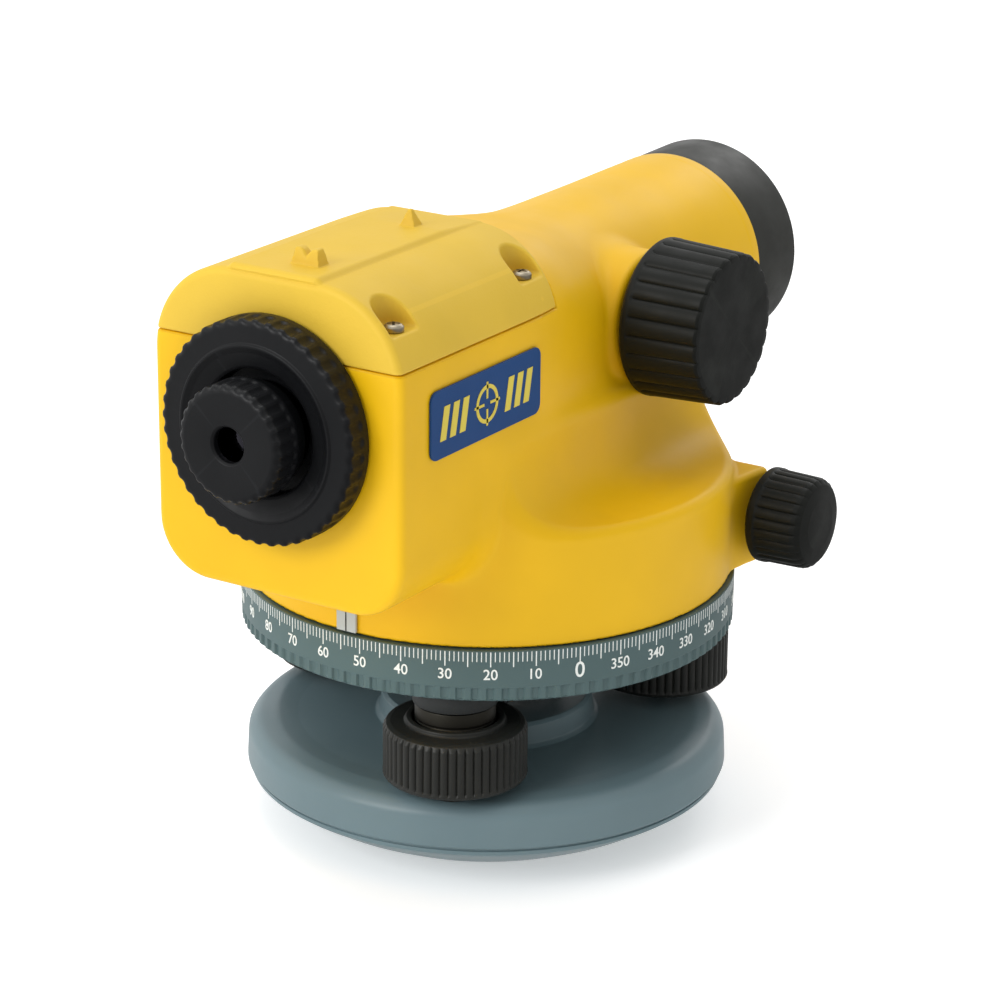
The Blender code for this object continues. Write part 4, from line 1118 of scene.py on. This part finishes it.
def build_vial_cup():
    revolve("vial_cup", [
        (0.02, 86.3), (10.5, 86.3, 0.3), (10.5, 94.9, 0.4), (10.1, 95.6, 0.3),
        (9.4, 95.8, 0.2), (8.9, 95.5, 0.2), (8.9, 90.0, 0.2), (0.02, 90.0)],
        FLAT_BLACK, "alidade", VIAL, seg=128, replaces="vial_housing",
        closed=False)
    for side, label in ((-1, "l"), (1, "r")):
        x0, x1 = sorted((VIAL_X + side * 7.0, VIAL_X + side * 9.0))
        name = "vial_lug_" + label
        lug = box((x0, -1.8, 93.2), (x1, HINGE_Y + POST_RADIUS, 95.5), name)
        bevel(put(name, lug, FLAT_BLACK, "alidade"), 0.3)
        name = "mirror_post_" + label
        outline = [(HINGE_Y - POST_RADIUS, 94.2), (HINGE_Y + POST_RADIUS, 94.2)]
        outline += arc(HINGE_Y, HINGE_Z, POST_RADIUS, 0, 180, 12)
        post = put(name, prism_x(name, [outline], x0, x1), FLAT_BLACK, "alidade")
        cut(post, [cylinder(1.12, -60, -20, HINGE, "X", 24)])
        bevel(post, 0.15, 2)


def build_vial():
    crown = [(r, 95.8 - 0.9 * (r / 8.6) ** 2) for r in (7, 5, 3, 1, 0.02)]
    revolve("vial_window", [(0.02, 94.6), (8.6, 94.2, 0.2), (8.6, 94.9, 0.2), *crown],
            GLASS, "alidade", VIAL, replaces="vial_glass",
            closed=False, steps=2)
    revolve("vial_fluid", [(0.02, 90.3), (8.5, 90.3, 0.2), (8.5, 94.0, 0.2), (0.02, 94.3)],
            LIQUID, "alidade", VIAL, closed=False)
    revolve("vial_circle", [(2.7, 94.36), (3.05, 94.36), (3.05, 94.48), (2.7, 94.48)],
            PRINT_BLACK, "alidade", VIAL, seg=64)
    bubble = [(max(2.1 * math.sin(t), 0.02), 94.42 - 0.12 * math.cos(t))
              for t in np.linspace(0, np.pi, 12)]
    revolve("vial_bubble", bubble, INDEX_WHITE, "alidade", (VIAL_X + 0.4, VIAL_Y - 0.3, 0),
            seg=40, closed=False)


def mirror_slab(name, along, across, depth, material, edge, replaces=None):
    """Box in the mirror's frame, leaning back 45 degrees: along runs up from the hinge,
    across runs in X and depth towards the reflecting face."""
    c45 = math.cos(math.radians(45))
    low, high = zip(across, along, depth)
    points = [(VIAL_X + w, HINGE_Y - t * c45 - n * c45, HINGE_Z + t * c45 - n * c45)
              for w, t, n in box_corners(low, high)]
    mesh = mesh_of(name, points, BOX_FACES)
    face_outwards(mesh)
    bevel(put(name, mesh, material, "mirror", replaces), edge)


def build_mirror():
    start, rim_start, rim_end, end = 3.6, 5.3, 22.0, 23.4      # along
    half, rim_half = 9.4, 7.9                                  # across
    mirror_slab("mirror_back", (start, end), (-half, half), (-1.4, -0.1), FLAT_BLACK, 0.4,
                "mirror_frame")
    for label, along, across in (("near", (start, rim_start), (-half, half)),
                                 ("far", (rim_end, end), (-half, half)),
                                 ("in", (rim_start, rim_end), (rim_half, half)),
                                 ("out", (rim_start, rim_end), (-half, -rim_half))):
        mirror_slab("mirror_rim_" + label, along, across, (-0.2, 1.1), FLAT_BLACK, 0.2)
    mirror_slab("mirror_hinge", (-1.0, 4.0), (-6.5, 6.5), (-1.2, 0.95), FLAT_BLACK, 0.5)
    revolve("mirror_pin", [(0.02, -55.8), (0.85, -55.8, 0.2), (0.85, -37.2, 0.2), (0.02, -37.2)],
            STEEL, "mirror", HINGE, "X", seg=32, closed=False)
    mirror_slab("mirror_silvered", (5.65, 21.65), (-7.55, 7.55), (0.15, 0.95), SILVER, 0.3,
                "mirror_glass")


build_vial_cup()
build_vial()
build_mirror()

# --------------------------------------------------------------------------
# CAD pieces kept as they are: material and bevel width
# --------------------------------------------------------------------------
KEPT = {
    "spindle": (STEEL, 0.3), "preload_spring": (STEEL, 0.1), "worm_wheel": (BRASS, 0.08),
    "clutch_spring": (STEEL, 0.0), "tangent_shaft": (STEEL, 0.2), "tangent_worm": (BRASS, 0.0),
    "focus_pinion": (STEEL, 0.05), "focus_bush": (BRASS, 0.2),
    "focus_carriage": (BLACK_ALLOY, 0.3), "focus_rack": (BRASS, 0.0),
    "compensator_frame": (BLACK_ALLOY, 0.4), "compensator_pendulum": (BLACK_ALLOY, 0.3),
    "pendulum_prism": (GLASS, 0.2), "roof_prism": (GLASS, 0.2),
    "damping_magnet": (DULL_STEEL, 0.4), "reticle_cell": (BRASS, 0.2),
    "reticle_glass": (GLASS, 0.1), "eyepiece_cell": (BLACK_ALLOY, 0.2)}
for node_name, (kept_material, bevel_width) in KEPT.items():
    node_object = frame["nodes"][node_name]
    node_object.data.materials.clear()
    node_object.data.materials.append(kept_material)
    if bevel_width:
        bevel(node_object, bevel_width, 2)

# --------------------------------------------------------------------------
# set, in metres: floor, world, lights, camera
# --------------------------------------------------------------------------
VIEW_AZIMUTH, VIEW_DIP, VIEW_ROLL = (math.radians(a) for a in (32.6, 19.38, 0.54))
RIGHT = Vector((math.cos(VIEW_AZIMUTH), math.sin(VIEW_AZIMUTH), 0))
AHEAD = Vector((-math.sin(VIEW_AZIMUTH), math.cos(VIEW_AZIMUTH), 0))   # level, from the camera
UP = Vector((0, 0, 1))
WORLD_DIM, WORLD_BRIGHT = 0.28, 0.92


def build_floor():
    half = 6
    mesh = bpy.data.meshes.new("floor")
    mesh.from_pydata([(-half, -half, 0), (half, -half, 0), (half, half, 0), (-half, half, 0)],
                     [], [(0, 1, 2, 3)])
    floor = bpy.data.objects.new("floor", mesh)
    bpy.context.scene.collection.objects.link(floor)
    floor.location.z = -0.0001
    s = Shader("floor_white")
    s.drive(Base_Color=s.ramp(s.noise(3.0), (0.86, 0.86, 0.86, 1), (0.88, 0.88, 0.88, 1)))
    s.set(Roughness=0.75, Specular_IOR_Level=0.2, Emission_Color=(1, 1, 1, 1),
          Emission_Strength=0.4)
    # seen from below the floor is clear, so the underside can be looked at
    geometry = s.node("ShaderNodeNewGeometry")
    clear = s.node("ShaderNodeBsdfTransparent")
    mix = s.node("ShaderNodeMixShader")
    s.link(geometry.outputs["Backfacing"], mix.inputs[0])
    s.link(s.principled.outputs[0], mix.inputs[1])
    s.link(clear.outputs[0], mix.inputs[2])
    s.link(mix.outputs[0], s.tree.nodes["Material Output"].inputs["Surface"])
    mesh.materials.append(s.material)
    floor.visible_glossy = False


def build_world():
    """Soft light, brightest high on the left beyond the level; white to the camera."""
    scene = bpy.context.scene
    world = scene.world or bpy.data.worlds.new("World")
    scene.world = world
    world.use_nodes = True
    nodes, links = world.node_tree.nodes, world.node_tree.links
    background = nodes["Background"]
    background.inputs["Color"].default_value = (1, 1, 1, 1)
    coords = nodes.new("ShaderNodeTexCoord")
    facing = nodes.new("ShaderNodeVectorMath")
    facing.operation = "DOT_PRODUCT"
    brightest = -0.45 * RIGHT + 0.62 * AHEAD + 0.64 * UP
    facing.inputs[1].default_value = brightest.normalized()
    fade = nodes.new("ShaderNodeMapRange")
    fade.interpolation_type = "SMOOTHSTEP"
    for key, value in (("From Min", -0.9), ("From Max", 0.9),
                       ("To Min", WORLD_DIM), ("To Max", WORLD_BRIGHT)):
        fade.inputs[key].default_value = value
    links.new(coords.outputs["Generated"], facing.inputs[0])
    links.new(facing.outputs["Value"], fade.inputs["Value"])
    light_path = nodes.new("ShaderNodeLightPath")
    strength = nodes.new("ShaderNodeMapRange")
    links.new(light_path.outputs["Is Camera Ray"], strength.inputs["Value"])
    links.new(fade.outputs["Result"], strength.inputs["To Min"])
    strength.inputs["To Max"].default_value = 1.0
    links.new(strength.outputs["Result"], background.inputs["Strength"])
    scene.view_settings.view_transform = "Standard"


def area_light(name, right, above, nearer, target_z, width, height, power):
    """Area light placed right of, above and nearer the camera than the level's middle."""
    light = bpy.data.lights.new(name, "AREA")
    light.energy = power
    light.shape = "RECTANGLE"
    light.size = width
    light.size_y = height
    ob = bpy.data.objects.new(name, light)
    bpy.context.scene.collection.objects.link(ob)
    place = Vector((0, 0, 0.08)) + RIGHT * right + UP * above - AHEAD * nearer
    ob.location = place
    direction = Vector((0, 0, target_z)) - place
    ob.rotation_euler = direction.to_track_quat("-Z", "Y").to_euler()


def build_camera():
    forward = AHEAD * math.cos(VIEW_DIP) - UP * math.sin(VIEW_DIP)
    view_up = AHEAD * math.sin(VIEW_DIP) + UP * math.cos(VIEW_DIP)
    camera = bpy.data.cameras.new("cam")
    camera.sensor_width = 36.0
    camera.lens = 123.912
    camera.clip_start = 0.01
    camera.clip_end = 50
    ob = bpy.data.objects.new("cam", camera)
    bpy.context.scene.collection.objects.link(ob)
    # offsets from the aim point are in degree ring radii
    aim = Vector((0, 0, 0.0575))
    place = aim + RING_RADIUS * MM * (0.047 * RIGHT + 0.296 * view_up - 14.0 * forward)
    rolled_right = RIGHT * math.cos(VIEW_ROLL) + view_up * math.sin(VIEW_ROLL)
    rolled_up = view_up * math.cos(VIEW_ROLL) - RIGHT * math.sin(VIEW_ROLL)
    matrix = Matrix((rolled_right, rolled_up, -forward)).transposed().to_4x4()
    matrix.translation = place
    ob.matrix_world = matrix
    bpy.context.scene.camera = ob


build_floor()
build_world()
area_light("key", right=-0.9, above=0.6, nearer=0.8, target_z=0.09,
           width=0.6, height=0.6, power=7.2)
area_light("top", right=-0.1, above=1.2, nearer=-0.2, target_z=0.08,
           width=0.7, height=0.7, power=3.0)
area_light("fill", right=0.95, above=0.35, nearer=0.55, target_z=0.08,
           width=0.7, height=0.9, power=0.6)
area_light("rim", right=0.5, above=0.7, nearer=-0.9, target_z=0.1,
           width=0.5, height=0.5, power=1.5)
build_camera()

bpy.context.view_layer.update()
